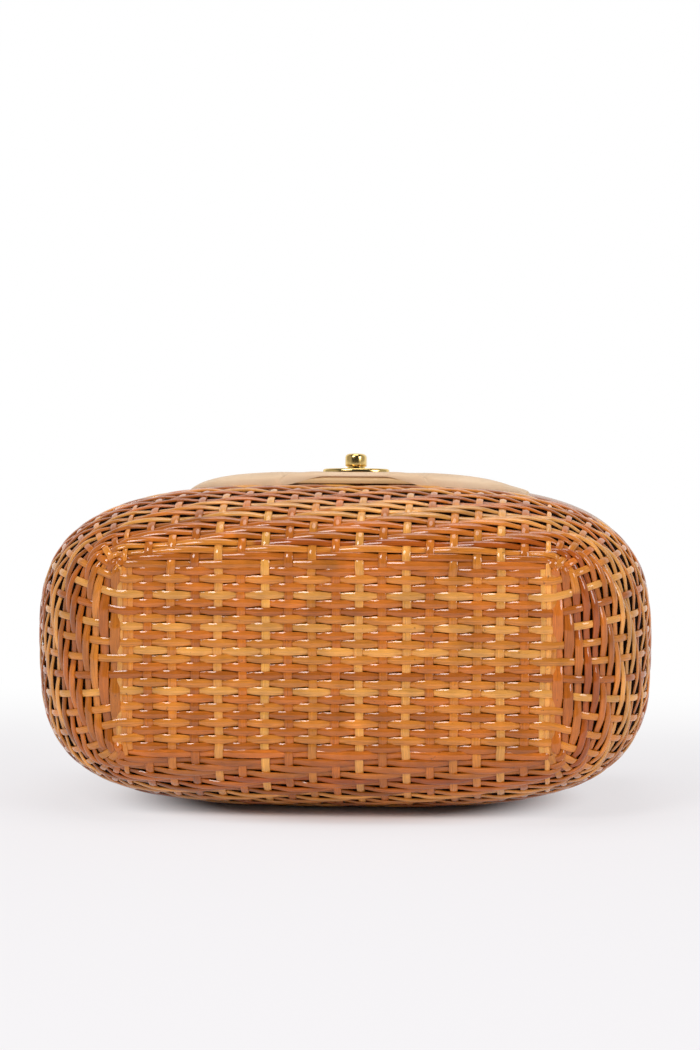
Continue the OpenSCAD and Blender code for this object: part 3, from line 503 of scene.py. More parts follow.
# a stake runs from the front mouth over the base to the back mouth
def makeStake(c, shift=0.0, walls=True):
    x = c * b["stakePitch"] - stakeReach + shift
    steps = (baseRows + 1) * w["baseSteps"]
    y = np.linspace(-baseHalfD, baseHalfD, steps)
    k = (y + rowReach) / b["rowPitch"]
    wave = -baseWave(c, k)
    past = np.clip((np.abs(y) - rowReach) / b["marginY"], 0, 1)
    wave = wave * (1 - past) * (w["stripRise"] if c in (0, b["frontStakes"] - 1) else 1)
    lean = w["stakeLean"] * np.sin(k * 0.23 + c * 2.1)
    points = np.stack([x + lean * (1 - past), y, b["relief"] - (w["seatDepth"] + w["stakeLift"] * wave)], 1)
    normals = np.tile([0.0, 0.0, -1.0], (steps, 1))
    full = np.ones(steps)
    if walls:
        front, back = (wallStake(i, w["wallStart"]) for i in (c, halfCount + b["frontStakes"] - 1 - c))
        points, normals, full = joinWalls((points, normals, full), front, back)
    n = len(points)
    name = "brown" if c in (2, 3) else "orange" if c % 2 else "light"
    return dict(points=points, normals=normals, full=full, colour=tones(n, [name, name, "gold"], n, 0.05), loop=False)


def makeCorner(i):
    points, normals, full = wallStake(i, w["cornerStart"], w["cornerShare"])
    n = len(points)
    return dict(points=points, normals=normals, full=full, colour=tones(n, ["orange", "amber", "gold"], n), loop=False)


# Geometry Nodes: both trees start from centre lines that know which way their flat side faces
def startTree(name, sizes):
    tree = bpy.data.node_groups.new(name, "GeometryNodeTree")
    face = tree.interface
    face.new_socket("Geometry", in_out="INPUT", socket_type="NodeSocketGeometry")
    for size in sizes:
        face.new_socket(size, in_out="INPUT", socket_type="NodeSocketFloat")
    face.new_socket("Material", in_out="INPUT", socket_type="NodeSocketMaterial")
    face.new_socket("Geometry", in_out="OUTPUT", socket_type="NodeSocketGeometry")
    start = addNode(tree, "NodeGroupInput")
    lines = addNode(tree, "GeometryNodeMeshToCurve", {"Mesh": start.outputs["Geometry"]})
    facing = addNode(tree, "GeometryNodeInputNamedAttribute", {"Name": "flatFacing"}, data_type="FLOAT_VECTOR")
    turned = addNode(tree, "GeometryNodeSetCurveNormal", {"Curve": lines, "Normal": facing}, mode="FREE")
    return tree, start, turned


def endTree(tree, start, geometry):
    smooth = addNode(tree, "GeometryNodeSetShadeSmooth", {"Geometry": geometry})
    whole = addNode(tree, "GeometryNodeRealizeInstances", {"Geometry": smooth})
    painted = addNode(tree, "GeometryNodeSetMaterial", {"Geometry": whole, "Material": start.outputs["Material"]})
    addNode(tree, "NodeGroupOutput", {"Geometry": painted})
    return tree


# sweep a split strip, flat behind and domed outside, along each centre line
def strandTree():
    tree, start, turned = startTree("caneStrands", ("Width", "Edge", "Dome"))
    full = addNode(tree, "GeometryNodeInputNamedAttribute", {"Name": "fullness"}, data_type="FLOAT")
    ring = addNode(tree, "GeometryNodeCurvePrimitiveCircle", {"Resolution": 12, "Radius": 1.0}, mode="RADIUS")
    place = addNode(tree, "ShaderNodeSeparateXYZ", {0: addNode(tree, "GeometryNodeInputPosition")})

    # across the strip: points crowd towards the edges; outwards: flat back, square edge, domed skin
    at = {"x": place.outputs["X"], "y": place.outputs["Y"]}
    at.update({size: start.outputs[size] for size in ("Width", "Edge", "Dome")})
    for result, operation, one, two in (
            ("far", "ABSOLUTE", "y", 0.0), ("reach", "POWER", "far", 0.55), ("side", "SIGN", "y", 0.0),
            ("sided", "MULTIPLY", "reach", "side"), ("half", "MULTIPLY", "Width", 0.5),
            ("across", "MULTIPLY", "sided", "half"),
            ("steep", "MULTIPLY", "x", 3.0), ("under", "MINIMUM", "steep", 1.0), ("square", "MAXIMUM", "under", -1.0),
            ("wall", "MULTIPLY", "square", "Edge"), ("block", "MULTIPLY", "wall", 0.5),
            ("bow", "MULTIPLY", "reach", "reach"), ("arch", "SUBTRACT", 1.0, "bow"),
            ("crown", "MULTIPLY", "arch", "Dome"), ("outside", "GREATER_THAN", "x", 0.01),
            ("skin", "MULTIPLY", "crown", "outside"), ("raised", "ADD", "block", "skin"),
            ("sunk", "MULTIPLY", "Dome", 0.5), ("seated", "SUBTRACT", "raised", "sunk")):
        at[result] = addNode(tree, "ShaderNodeMath", {0: at.get(one, one), 1: at.get(two, two)}, operation=operation)
    spot = addNode(tree, "ShaderNodeCombineXYZ", {"X": at["seated"], "Y": at["across"]})
    rounded = addNode(tree, "GeometryNodeSetPosition", {"Geometry": ring, "Position": spot})
    around = addNode(tree, "GeometryNodeSplineParameter")
    profile = addNode(tree, "GeometryNodeStoreNamedAttribute", {
        "Geometry": rounded, "Name": "across", "Value": around.outputs["Factor"]}, data_type="FLOAT", domain="POINT")
    swept = addNode(tree, "GeometryNodeCurveToMesh", {
        "Curve": turned, "Profile Curve": profile, "Scale": full, "Fill Caps": True})
    return endTree(tree, start, swept)


strandNodes = strandTree()


def storeData(mesh, key, kind, field, values):
    mesh.attributes.new(key, kind, "POINT").data.foreach_set(field, values.astype(np.float32).ravel())


# centre lines with their point data go through a tree and come back as one plain mesh
def bakeLines(name, paths, data, tree, inputs):
    points, edges = [], []
    for path, loop in paths:
        first, n = len(points), len(path)
        points.extend(path.tolist())
        edges.extend((first + i, first + i + 1) for i in range(n - 1))
        if loop:
            edges.append((first + n - 1, first))
    mesh = newMesh(name + "Lines", points, edges, [])
    for key, (kind, field, values) in data.items():
        storeData(mesh, key, kind, field, np.concatenate(values))
    source = addObject(name + "Lines", mesh)
    modifier = source.modifiers.new(tree.name, "NODES")
    modifier.node_group = tree
    for item in tree.interface.items_tree:
        if item.in_out == "INPUT" and item.name in inputs:
            modifier[item.identifier] = inputs[item.name]
    graph = bpy.context.evaluated_depsgraph_get()
    baked = bpy.data.meshes.new_from_object(source.evaluated_get(graph), preserve_all_data_layers=True, depsgraph=graph)
    baked.name = name
    piece = addObject(name, baked)
    bpy.data.objects.remove(source)
    baked.materials.clear()
    baked.materials.append(inputs["Material"])
    return piece


# strands of one kind become one mesh of centre lines, then one swept piece
def weavePiece(name, strands, width, thick):
    paths, facing, full, colours, lay = [], [], [], [], []
    for number, s in enumerate(strands):
        n = len(s["points"])
        world = toFrame(s["points"])
        paths.append((world, s["loop"]))
        facing.append(turnToFrame(s["normals"]))
        full.append(np.broadcast_to(s["full"], n))
        colours.append(np.column_stack([s["colour"], np.ones(n)]))
        lay.append(np.stack([runAlong(world), np.full(n, number * w["strandShift"]), np.zeros(n)], 1))
    data = {"flatFacing": ("FLOAT_VECTOR", "vector", facing), "fullness": ("FLOAT", "value", full),
            "caneColour": ("FLOAT_COLOR", "color", colours), "caneRun": ("FLOAT_VECTOR", "vector", lay)}
    edge = w["edgeShare"]
    inputs = {"Width": width / mm, "Edge": thick * edge / mm, "Dome": thick * (1 - edge) / mm, "Material": cane}
    piece = bakeLines(name, paths, data, strandNodes, inputs)
    # fibre coordinates: long along the strand, fine across it
    n = len(piece.data.vertices)
    run, across = np.zeros(n * 3, np.float32), np.zeros(n, np.float32)
    piece.data.attributes["caneRun"].data.foreach_get("vector", run)
    piece.data.attributes["across"].data.foreach_get("value", across)
    run = run.reshape(-1, 3)
    long, apart, fine = w["fibre"]
    fibre = np.stack([run[:, 0] * mm / long, run[:, 1] * apart, across * fine], 1)
    storeData(piece.data, "caneLay", "FLOAT_VECTOR", "vector", fibre)
    for key in ("caneRun", "across", "flatFacing", "fullness"):
        if key in piece.data.attributes:
            piece.data.attributes.remove(piece.data.attributes[key])
    piece.data.set_sharp_from_angle(angle=math.radians(w["sharpAngle"]))
    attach(piece, "basket")
    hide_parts("basket_body")
    piece.data.calc_loop_triangles()
    print(name, len(strands), "strands", len(piece.data.loop_triangles), "triangles")


last = b["frontStakes"] - 1
rowStrands = [makeRow(k) for k in range(baseRows)]
cornerStarts = [b["frontStakes"], b["frontStakes"] + b["cornerStakes"] + b["endStakes"]]
cornerStrands = [makeCorner(half + first + m) for half in (0, halfCount) for first in cornerStarts
                 for m in range(b["cornerStakes"])]
stakeStrands = [makeStake(c) for c in range(1, last)]
stripStrands = [makeStake(c, shift, walls=shift == 0) for c in (0, last)
                for shift in (-w["stripGap"], 0.0, w["stripGap"])]
weavers = [makeWeaver(row) for row in range(wallRows)]
weavePiece("caneRows", rowStrands, w["rowWidth"], w["weaverThick"])
weavePiece("caneStakes", stakeStrands, w["stakeWidth"], w["stakeThick"])
weavePiece("caneStrips", stripStrands, w["stripWidth"], w["stakeThick"])
weavePiece("caneCorners", cornerStrands, w["stakeWidth"], w["stakeThick"])
weavePiece("caneWeaversLow", weavers[:wallRows // 2], w["weaverWidth"], w["weaverThick"])
weavePiece("caneWeaversHigh", weavers[wallRows // 2:], w["weaverWidth"], w["weaverThick"])
print("basket woven")

# leather: a padded flap on a flat backing, a padded lid and a rolled handle, millimetres with the bag upright
flap = {
    "width": 164, "corner": 32, "edgeH": 67, "topH": 147.46, "rimH": 136, "shift": 4, "backing": 1.2,
    "sidePower": 4.4, "sideLoss": 0.75, "sideTip": 1.0, "padLoss": 0.9,     # how it thins towards its sides
    "inside": [(67, 76.15), (68.67, 77.20), (72, 78.28), (92, 76.12), (116.1, 72.4), (136, 72.1), (144.38, 68.57),
               (147.46, 68.57)],
    "sink": [(67, 0), (72, 1.9), (92, 1.9), (116.1, 0)],
    "thick": [(67, 2.9), (72, 1.8), (136, 1.8), (147.46, 0.9)],
    "lockH": 82, "plateW": 32, "plateH": 20, "plateMargin": 2.5,
    "setBack": 0.9,            # how far the padded layer stops short of its backing, between the creases
    "overlap": 0.4,            # how far it laps over the backing's edge beyond them
    "layerFade": 23,           # width of the change from one to the other
    "roll": 3.0,               # width of the rounded border
    "tuck": 1.6, "topRoll": 1.2, "skin": 0.12, "lap": 0.06, "least": 0.1,
    "lip": 0.9, "lipHeight": 5,     # the backing is thicker at its lower edge
    "backingRoll": 0.8, "backingEdge": 0.6,
    "creases": [((-36.5, 66.0), (-14.0, 91.0)), ((36.5, 66.0), (14.0, 91.0))],
    "creaseDepth": 1.7, "creaseWidth": 1.0,
    "looseIn": 5, "looseTop": 130, "looseFade": 8, "heldCrease": 0.4, "heldEdge": 1.2, "heldTop": 128,
    "slack": 0.3, "swell": 0.95, "quickSwell": 0.8, "pressure": 0.7, "fill": 0.45,
    "cornerSteps": 19, "middleSteps": 117, "rowSteps": 46, "evenRows": 11.55,
    "edgeRows": [0.36, 0.27, 0.19, 0.12, 0.065, 0.025, 0],
}
f = flap


def wallInset(z):
    return b["rimInset"] * np.clip((z - b["girthH"]) / (straightH - b["girthH"]), 0, 1) ** 2


def flapColumns():
    turn = np.linspace(0, math.pi / 2, f["cornerSteps"])[1:]
    corner = f["width"] / 2 - f["corner"] + f["corner"] * np.sin(turn)
    middle = np.linspace(-1, 1, f["middleSteps"]) * (f["width"] / 2 - f["corner"])
    return np.concatenate([-corner[::-1], middle, corner])


# share of the layered look: 1 between the creases, 0 towards the sides
def layered(x):
    s = np.clip((f["creases"][1][0][0] - np.abs(x)) / f["layerFade"], 0, 1)
    return s * s * (3 - 2 * s)


def flapRows():
    return np.concatenate([np.linspace(0, f["evenRows"], f["rowSteps"]), 12 - np.array(f["edgeRows"])])


# x is counted from the middle of the flap; r runs from 0 at the top, over 2 at the rim, to 12 at the lower edge
def flapHeight(x, r, setBack):
    past = np.maximum(0, np.abs(x) - (f["width"] / 2 - f["corner"]))
    low = f["edgeH"] + f["corner"] - np.sqrt(np.maximum(0, f["corner"] ** 2 - past ** 2)) + setBack
    top, rim = f["topH"], f["rimH"]
    return np.where(r <= 2, top + (rim - top) * r / 2, rim + (low - rim) * (r - 2) / 10)


def flapFaces(short):
    x, r = np.meshgrid(flapColumns(), flapRows())
    x = x * (1 - 2 * short(f["width"] / 2) / f["width"])
    setBack = short(x)
    z, middle = flapHeight(x, r, setBack), flapHeight(0 * x, r, 0)
    side = np.abs(2 * x / f["width"]) ** f["sidePower"]
    inner = wallInset(z) - wallInset(middle) - along(f["inside"], middle) + along(f["sink"], middle) * side
    inner = inner + halfD - outlineY(x + f["shift"])
    pad = along(f["thick"], middle) * (1 - f["padLoss"] * side)
    qx, qz = np.abs(x) - (f["width"] / 2 - f["corner"]), f["edgeH"] + f["corner"] - z
    corner = (qx > 0) & (qz > 0)
    d = np.where(corner, f["corner"] - np.hypot(qx, qz), np.minimum(f["width"] / 2 - np.abs(x), z - f["edgeH"]))
    d = np.minimum(np.maximum(d - setBack, 0), np.maximum(0, f["topH"] + f["topRoll"] - z))
    lip = f["lip"] * np.exp(-((z - f["edgeH"]) / f["lipHeight"]) ** 2) * layered(x)
    return x, z, inner, pad, d, lip, side


def padShort(x):
    return f["setBack"] * layered(x) - f["overlap"] * (1 - layered(x))


def backingShort(x):
    return f["overlap"] * (1 - layered(x))


def segmentDistance(x, z, ends):
    a, way = np.array(ends[0]), np.array(ends[1]) - ends[0]
    t = np.clip(((x - a[0]) * way[0] + (z - a[1]) * way[1]) / np.dot(way, way), 0, 1)
    return np.hypot(x - a[0] - t * way[0], z - a[1] - t * way[1])


def sheetFaces(rows, cols):
    at = np.arange(rows * cols).reshape(rows, cols)
    return np.stack([at[:-1, :-1], at[:-1, 1:], at[1:, 1:], at[1:, :-1]], -1).reshape(-1, 4)


# Cloth blows a sheet up between the points that are held; an enlarged copy keeps the solver steady
clothSolver = {"scale": 100.0, "frames": 20, "quality": 5, "bending": 0.5}


def inflate(points, faces, held, pressure, cap):
    size, frames = clothSolver["scale"], clothSolver["frames"]
    mesh = newMesh("clothSheet", points * size, [], faces.tolist())
    sheet = addObject("clothSheet", mesh)
    sheet.vertex_groups.new(name="held").add([int(i) for i in np.flatnonzero(held)], 1.0, "ADD")
    cloth = sheet.modifiers.new("cloth", "CLOTH")
    settings = cloth.settings
    settings.vertex_group_mass = "held"
    settings.use_pressure = True
    settings.uniform_pressure_force = pressure
    settings.effector_weights.gravity = 0
    settings.quality = clothSolver["quality"]
    settings.bending_stiffness = clothSolver["bending"]
    cloth.collision_settings.use_collision = False
    cloth.point_cache.frame_start, cloth.point_cache.frame_end = 1, frames
    for step in range(1, frames + 1):
        scene.frame_set(step)
    blown = sheet.evaluated_get(bpy.context.evaluated_depsgraph_get())
    flat = np.zeros(len(points) * 3, np.float32)
    blown.data.vertices.foreach_get("co", flat)
    move = flat.reshape(-1, 3) / size - points
    bpy.data.objects.remove(sheet)
    bpy.data.meshes.remove(mesh)
    scene.frame_set(1)
    length = np.maximum(np.linalg.norm(move, axis=1), 1e-9)
    print("cloth moved up to", round(float(length.max()) * mm, 2), "mm, kept to", round(cap * mm, 2))
    return move * (cap * np.tanh(length / cap) / length)[:, None]


# two faces of a grid and the strip that closes them
def closedPanel(name, outer, inner, material):
    rows, cols = outer.shape[:2]
    n = rows * cols
    faces = sheetFaces(rows, cols)
    rim = np.concatenate([np.arange(cols), np.arange(1, rows) * cols + cols - 1,
                          (rows - 1) * cols + np.arange(cols - 2, -1, -1), np.arange(rows - 2, 0, -1) * cols])
    after = np.roll(rim, -1)
    strip = np.stack([rim, rim + n, after + n, after], 1)
    points = np.concatenate([outer.reshape(-1, 3), inner.reshape(-1, 3)])
    return finishSoft(name, points, np.concatenate([faces, faces[:, ::-1] + n, strip]).tolist(), material)


def finishSoft(name, points, faces, material):
    mesh = newMesh(name, points, [], faces)
    turnOut(mesh)
    mesh.materials.append(material)
    piece = addObject(name, mesh)
    soften = piece.modifiers.new("soften", "SUBSURF")
    soften.levels = soften.render_levels = 1
    return piece


def makeFlap():
    x, z, inner, pad, d, lip, side = flapFaces(padShort)
    roll = np.sqrt(1 - (1 - np.clip(d / f["roll"], 0, 1)) ** 2)
    crease = np.zeros_like(x)
    for ends in f["creases"]:
        crease = np.maximum(crease, np.exp(-(segmentDistance(x, z, ends) / f["creaseWidth"]) ** 2))
    halfX, halfZ = f["plateW"] / 2 + f["plateMargin"], f["plateH"] / 2 + f["plateMargin"]
    plate = np.hypot(x / halfX, (z - f["lockH"]) / halfZ)
    loose = np.clip((plate - 1) * 2, 0, 1) * np.clip(d / f["looseIn"], 0, 1)
    loose = loose * np.clip((f["looseTop"] - z) / f["looseFade"], 0, 1)
    floor = (f["backing"] + lip) * (1 - f["sideLoss"] * side)
    full = floor + pad - f["slack"] * loose - f["creaseDepth"] * crease * np.clip((plate - 1) * 3, 0, 1)
    tip = layered(x) * (floor + 0.5 * pad) - (1 - layered(x)) * f["sideTip"]
    outerY = inner - (tip + f["skin"] + np.maximum(full - tip - f["skin"], f["least"]) * roll)
    under = np.clip(d / f["tuck"], 0, 1)
    backY = inner - (tip + (floor + f["lap"] - tip) * under)
    backY = np.maximum(backY, outerY + f["skin"])
    outer, back = (toFrame(np.stack([x + f["shift"], y, z], -1)) for y in (outerY, backY))
    held = (crease > f["heldCrease"]) | (plate < 1) | (d < f["heldEdge"]) | (z > f["heldTop"])
    held[0], held[-1], held[:, 0], held[:, -1] = True, True, True, True
    faces = sheetFaces(*x.shape)
    lift = np.cross(outer[0, 1] - outer[0, 0], outer[1, 1] - outer[0, 1])
    faces = faces if lift[2] > 0 else faces[:, ::-1]
    blown = inflate(outer.reshape(-1, 3), faces, held.ravel(), f["pressure"], f["swell"] / mm).reshape(outer.shape)
    piece = closedPanel("flapPad", outer + blown, back, leather)
    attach(piece, "lid")
    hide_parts("front_flap")


def makeBacking():
    x, z, inner, pad, d, lip, side = flapFaces(backingShort)
    edge = np.sqrt(1 - (1 - np.clip(d / f["backingRoll"], 0, 1)) ** 2)
    thick = (f["backing"] + lip) * (1 - f["sideLoss"] * side)
    outerY = inner - thick * (f["backingEdge"] + (1 - f["backingEdge"]) * edge)
    innerY = inner - f["skin"] * (1 - edge)
    outer, back = (toFrame(np.stack([x + f["shift"], y, z], -1)) for y in (outerY, innerY))
    piece = closedPanel("flapBacking", outer, back, backingLeather)
    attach(piece, "lid")
    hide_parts("flap_backing")


makeFlap()
makeBacking()
print("flap made")

# lid: crowned leather pad on the board, gathered under at its edge
lid = {
    "boardTop": 141.3, "height": 14, "moveIn": 7, "around": 132, "levels": 34, "lastLevel": 6.85,
    "plan": [1, 1.004, 0.985, 0.94, 0.84, 0.66, 0.4, 0], "rise": [0, 0.22, 0.46, 0.68, 0.85, 0.95, 0.99, 1],
    "lugX": 48, "lugR": 9.5, "heldH": 149, "seamH": 146, "seamWidth": 0.9, "seamDepth": 0.55,
    "swell": 0.6, "pressure": 3.0, "fill": 0.7, "stitchH": 149.2,
}


def lidPoint(q, s):
    ring = oval(2 * math.pi * q)
    ring = ring - lid["moveIn"] * outward(ring)
    knots = np.arange(len(lid["plan"]))
    plan, rise = np.interp(s, knots, lid["plan"]), np.interp(s, knots, lid["rise"])
    return np.concatenate([ring * plan[..., None], (lid["boardTop"] + lid["height"] * rise)[..., None]], -1)


def evenTurns(count):
    fine = np.linspace(0, 1, 4001)
    run = runAlong(lidPoint(fine, 0 * fine))
    return np.interp(np.arange(count) / count * run[-1], run, fine)


def makeLid():
    s, q = np.meshgrid(np.linspace(0, lid["lastLevel"], lid["levels"]), evenTurns(lid["around"]), indexing="ij")
    p = smoothPath(lidPoint(q, s), 2)
    seam = np.exp(-((p[..., 2] - lid["seamH"]) / lid["seamWidth"]) ** 2)
    p[..., :2] -= unit(p[..., :2]) * (lid["seamDepth"] * seam)[..., None]
    rows, cols = q.shape
    world = toFrame(p)
    lug = np.minimum(*(np.hypot(p[..., 0] + shift, p[..., 1]) for shift in (-lid["lugX"], lid["lugX"])))
    held = (p[..., 2] < lid["heldH"]) | (lug < lid["lugR"])
    at, faces = ringFaces(rows, cols)
    top = toFrame(np.array([[0, 0, lid["boardTop"] + lid["height"]]]))
    points = np.concatenate([world.reshape(-1, 3), top])
    cap = [[int(at[-1, i]), int(at[-1, (i + 1) % cols]), rows * cols] for i in range(cols)]
    a, c, e = (points[faces[cols * 30][k]] for k in (0, 1, 2))
    faces = faces if np.cross(c - a, e - a)[1] > 0 else faces[:, ::-1]
    move = inflate(points[:-1], faces, held.ravel(), lid["pressure"], lid["swell"] / mm)
    points[:-1] += move
    points[-1] += move[-cols:].mean(0)
    piece = finishSoft("lidPad", points, faces.tolist() + cap + [at[0].tolist()], leather)
    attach(piece, "lid")
    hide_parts("lid_cover")


makeLid()
print("lid made")

# handle: leather rolled round a core, closed by a sewn welt on the inside of the arch
handle = {
    "x": 48, "start": 6.2, "sleeve": 13.6, "pivotZ": 162.85, "radius": 4.92, "armScale": 100, "around": 24, "steps": 72,
    "welt": 1.5, "weltHalf": 1.3, "weltStart": 0.03, "weltFade": 0.04,
    "stitchAt": 0.9, "stitchFrom": 0.075, "stitchSide": 0.82,
}


def handlePath(t):
    turn = np.clip(t, 0, 1) * math.pi
    past = np.maximum(0, -t) + np.maximum(0, t - 1)
    x = handle["x"] * np.cos(turn)
    y = handle["sleeve"] + handle["x"] * np.sin(turn) - past * handle["armScale"]
    inward = np.stack([-np.cos(turn), -np.sin(turn)], -1)
    return np.stack([x, y], -1), inward


def makeHandle():
    arm = (handle["sleeve"] - handle["start"]) / handle["armScale"]
    t = np.concatenate([[-arm, -arm / 2], np.linspace(0, 1, handle["steps"]), [1 + arm / 2, 1 + arm]])
    middle, inward = handlePath(t)
    around = 2 * math.pi * np.arange(handle["around"]) / handle["around"]
    c, s = np.cos(around), np.sin(around)
    first, fade = handle["weltStart"], handle["weltFade"]
    welt = np.clip((t - first) / fade, 0, 1) * np.clip((1 - first - t) / fade, 0, 1)
    lip = np.clip(1 - (np.abs(np.arctan2(s, c)) * handle["radius"] / handle["weltHalf"]) ** 4, 0, 1)
    r = handle["radius"] + handle["welt"] * welt[:, None] * lip[None]
    flat = middle[:, None] + inward[:, None] * (r * c[None])[..., None]
    p = np.concatenate([flat, (handle["pivotZ"] + r * s[None])[..., None]], -1)
    at, faces = ringFaces(*r.shape)
    ends = [at[0].tolist(), at[-1][::-1].tolist()]
    piece = finishSoft("handleRoll", toFrame(p).reshape(-1, 3), faces.tolist() + ends, leather)
    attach(piece, "handle")
    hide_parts("handle_grip")


makeHandle()
print("handle made")


# stitches: short capsules of thread laid along a line on the leather
stitch = {"pitch": 3.4, "long": 2.3, "thick": 0.55, "lift": 0.1, "lidSteps": 400, "handleSteps": 120}


def stitchTree():
    tree, start, turned = startTree("threadStitches", ("Pitch", "Stitch length", "Thread"))
    places = addNode(tree, "GeometryNodeCurveToPoints", {
        "Curve": turned, "Length": start.outputs["Pitch"]}, mode="LENGTH")
    size = addNode(tree, "ShaderNodeCombineXYZ", {
        "X": start.outputs["Thread"], "Y": start.outputs["Thread"], "Z": start.outputs["Stitch length"]})
    bead = addNode(tree, "GeometryNodeMeshUVSphere", {"Segments": 6, "Rings": 5, "Radius": 0.5})
    laid = addNode(tree, "GeometryNodeInstanceOnPoints", {
        "Points": places.outputs["Points"], "Instance": bead.outputs["Mesh"], "Rotation": places.outputs["Rotation"],
        "Scale": size})
    return endTree(tree, start, laid)


stitchNodes = stitchTree()


# each line is (points, normals, loop) in the frame
def stitchPiece(name, lines, body):
    data = {"flatFacing": ("FLOAT_VECTOR", "vector", [normal for path, normal, loop in lines])}
    inputs = {"Pitch": stitch["pitch"] / mm, "Stitch length": stitch["long"] / mm, "Thread": stitch["thick"] / mm,
              "Material": thread}
    piece = bakeLines(name, [(path, loop) for path, normal, loop in lines], data, stitchNodes, inputs)
    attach(piece, body)
    print(name, len(piece.data.polygons), "faces")


def lidStitchLine():
    q = evenTurns(stitch["lidSteps"])
    level = np.interp((lid["stitchH"] - lid["boardTop"]) / lid["height"], lid["rise"], np.arange(len(lid["rise"])))
    p, higher = (lidPoint(q, np.full(len(q), level + step)) for step in (0, 0.05))
    out = unit(np.cross(np.roll(p, -1, 0) - np.roll(p, 1, 0), higher - p))
    out *= np.sign(np.sum(out[:, :2] * p[:, :2], 1))[:, None]
    return toFrame(p + out * stitch["lift"]), turnToFrame(out), True


def handleStitchLine(side):
    n = stitch["handleSteps"]
    middle, inward = handlePath(np.linspace(handle["stitchFrom"], 1 - handle["stitchFrom"], n))
    flat = middle + inward * (handle["radius"] + handle["stitchAt"])
    z = handle["pivotZ"] + side * (handle["weltHalf"] * handle["stitchSide"])
    return toFrame(np.concatenate([flat, np.full((n, 1), z)], 1)), np.tile([0.0, side * 1.0, 0.0], (n, 1)), False


stitchPiece("lidStitches", [lidStitchLine()], "lid")
stitchPiece("handleStitches", [handleStitchLine(1), handleStitchLine(-1)], "handle")
print("stitches laid")

# lock: the plate's rim and the knob's top are rounded over; heights are counted outwards from the flap's face
lock = {
    "place": (4, -80.199, 82), "lean": 6.152, "around": 48, "plateW": 32, "plateH": 20, "bore": 2.25,
    "weld": 1e-7, "sharpAngle": 42,
    # height and inset
    "plate": [(0.2, 0.2), (0.35, 0.0), (1.15, 0.0), (1.6, 0.14), (1.92, 0.5), (2.08, 1.1), (2.1, 1.8)],
    # height, radius and half the straight length
    "knob": [(-5.5, 0, 0), (-5.5, 2.2, 0), (2.15, 2.2, 0), (2.15, 4.3, 0), (3.05, 4.3, 0), (3.05, 4.0, 2.4),
             (3.14, 4.6, 2.4), (3.45, 4.98, 2.4), (4.0, 5.1, 2.4), (7.4, 5.1, 2.4), (8.05, 4.98, 2.4), (8.6, 4.62, 2.4),
             (8.98, 4.05, 2.4), (9.2, 3.3, 2.4), (9.3, 2.2, 2.4), (9.34, 1.1, 2.2), (9.35, 0, 0)],
}


def lockFrame(x, y, h):
    lean = math.radians(lock["lean"])
    px, py, pz = lock["place"]
    c, s = math.cos(lean), math.sin(lean)
    return toFrame(np.stack([px + x, py + y * s - h * c, pz + y * c + h * s], -1))


# rings of points become one smooth closed piece
def loft(name, rings, closed, body, node, material):
    at, faces = ringFaces(*rings.shape[:2], closed)
    mesh = newMesh(name, rings.reshape(-1, 3), [], faces.tolist())
    turnOut(mesh, lock["weld"])
    mesh.set_sharp_from_angle(angle=math.radians(lock["sharpAngle"]))
    mesh.materials.append(material)
    piece = addObject(name, mesh)
    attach(piece, body)
    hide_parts(node)


def makeLock():
    turn = 2 * math.pi * np.arange(lock["around"]) / lock["around"]
    c, s = np.cos(turn), np.sin(turn)
    halfX, halfY = lock["plateW"] / 2, lock["plateH"] / 2
    rim = [lockFrame((halfX - inset) * c, (halfY - inset) * s, np.full_like(c, h)) for h, inset in lock["plate"]]
    top, foot = lock["plate"][-1][0], lock["plate"][0][0]
    bore = [lockFrame(lock["bore"] * c, lock["bore"] * s, np.full_like(c, h)) for h in (top, foot)]
    loft("lockRim", np.array(rim + bore), True, "lid", "lock_plate", brass)
    side = np.sign(np.round(s, 6))
    knob = [lockFrame(r * c, r * s + straight * side, np.full_like(c, h)) for h, r, straight in lock["knob"]]
    loft("lockCap", np.array(knob), False, "knob", "lock_knob", brass)


makeLock()
print("lock made")

# hoop: one bent lath round the mouth, its edges eased
hoop = {"inside": -5.9, "thick": 2.4, "top": 136, "height": 13, "ease": 0.5, "around": 360}


def makeHoop():
    ring = oval(2 * math.pi * evenTurns(hoop["around"]))
    out = outward(ring)
    low, high, k = hoop["top"] - hoop["height"], hoop["top"], hoop["ease"]
    near, far = hoop["inside"], hoop["inside"] + hoop["thick"]
    section = [(near, low), (far - k, low), (far - 0.3 * k, low + 0.3 * k), (far, low + k),
               (far, high - k), (far - 0.3 * k, high - 0.3 * k), (far - k, high), (near, high)]
    rings = [np.concatenate([ring + shift * out, np.full((len(ring), 1), z)], 1) for shift, z in section]
    loft("bentHoop", toFrame(np.array(rings)), True, "basket", "rim_hoop_outer", hoopWood)


makeHoop()
print("hoop made")

# lining: cloth glued behind the strands, with a turned hem under the inner hoop
liningCloth = {"behind": 2.3, "thick": 0.8, "hem": 0.6, "hemH": 6, "topH": 122.7, "levels": 30}


def makeLiningCloth():
    c = liningCloth
    u = np.arange(2 * stakeCount) / 2
    rise = b["rimH"] - b["girthH"] - b["relief"]
    top = 1 + (c["topH"] - b["girthH"] - b["relief"]) / rise
    levels = np.linspace(0, top, c["levels"])
    deep = c["behind"] + c["thick"] + c["hem"] * (levels > top - c["hemH"] / rise)
    outer = [wallPoint(u, level, -c["behind"]) for level in levels]
    inner = [wallPoint(u, level, -d) for level, d in zip(levels, deep)]
    under, over = (np.concatenate([0 * ring[:, :2], ring[:, 2:]], 1) for ring in (outer[0], inner[0]))
    rings = toFrame(np.array([under] + outer + inner[::-1] + [over]))
    loft("liningCloth", rings, False, "basket", "basket_lining", lining)


makeLiningCloth()
print("lining glued in")

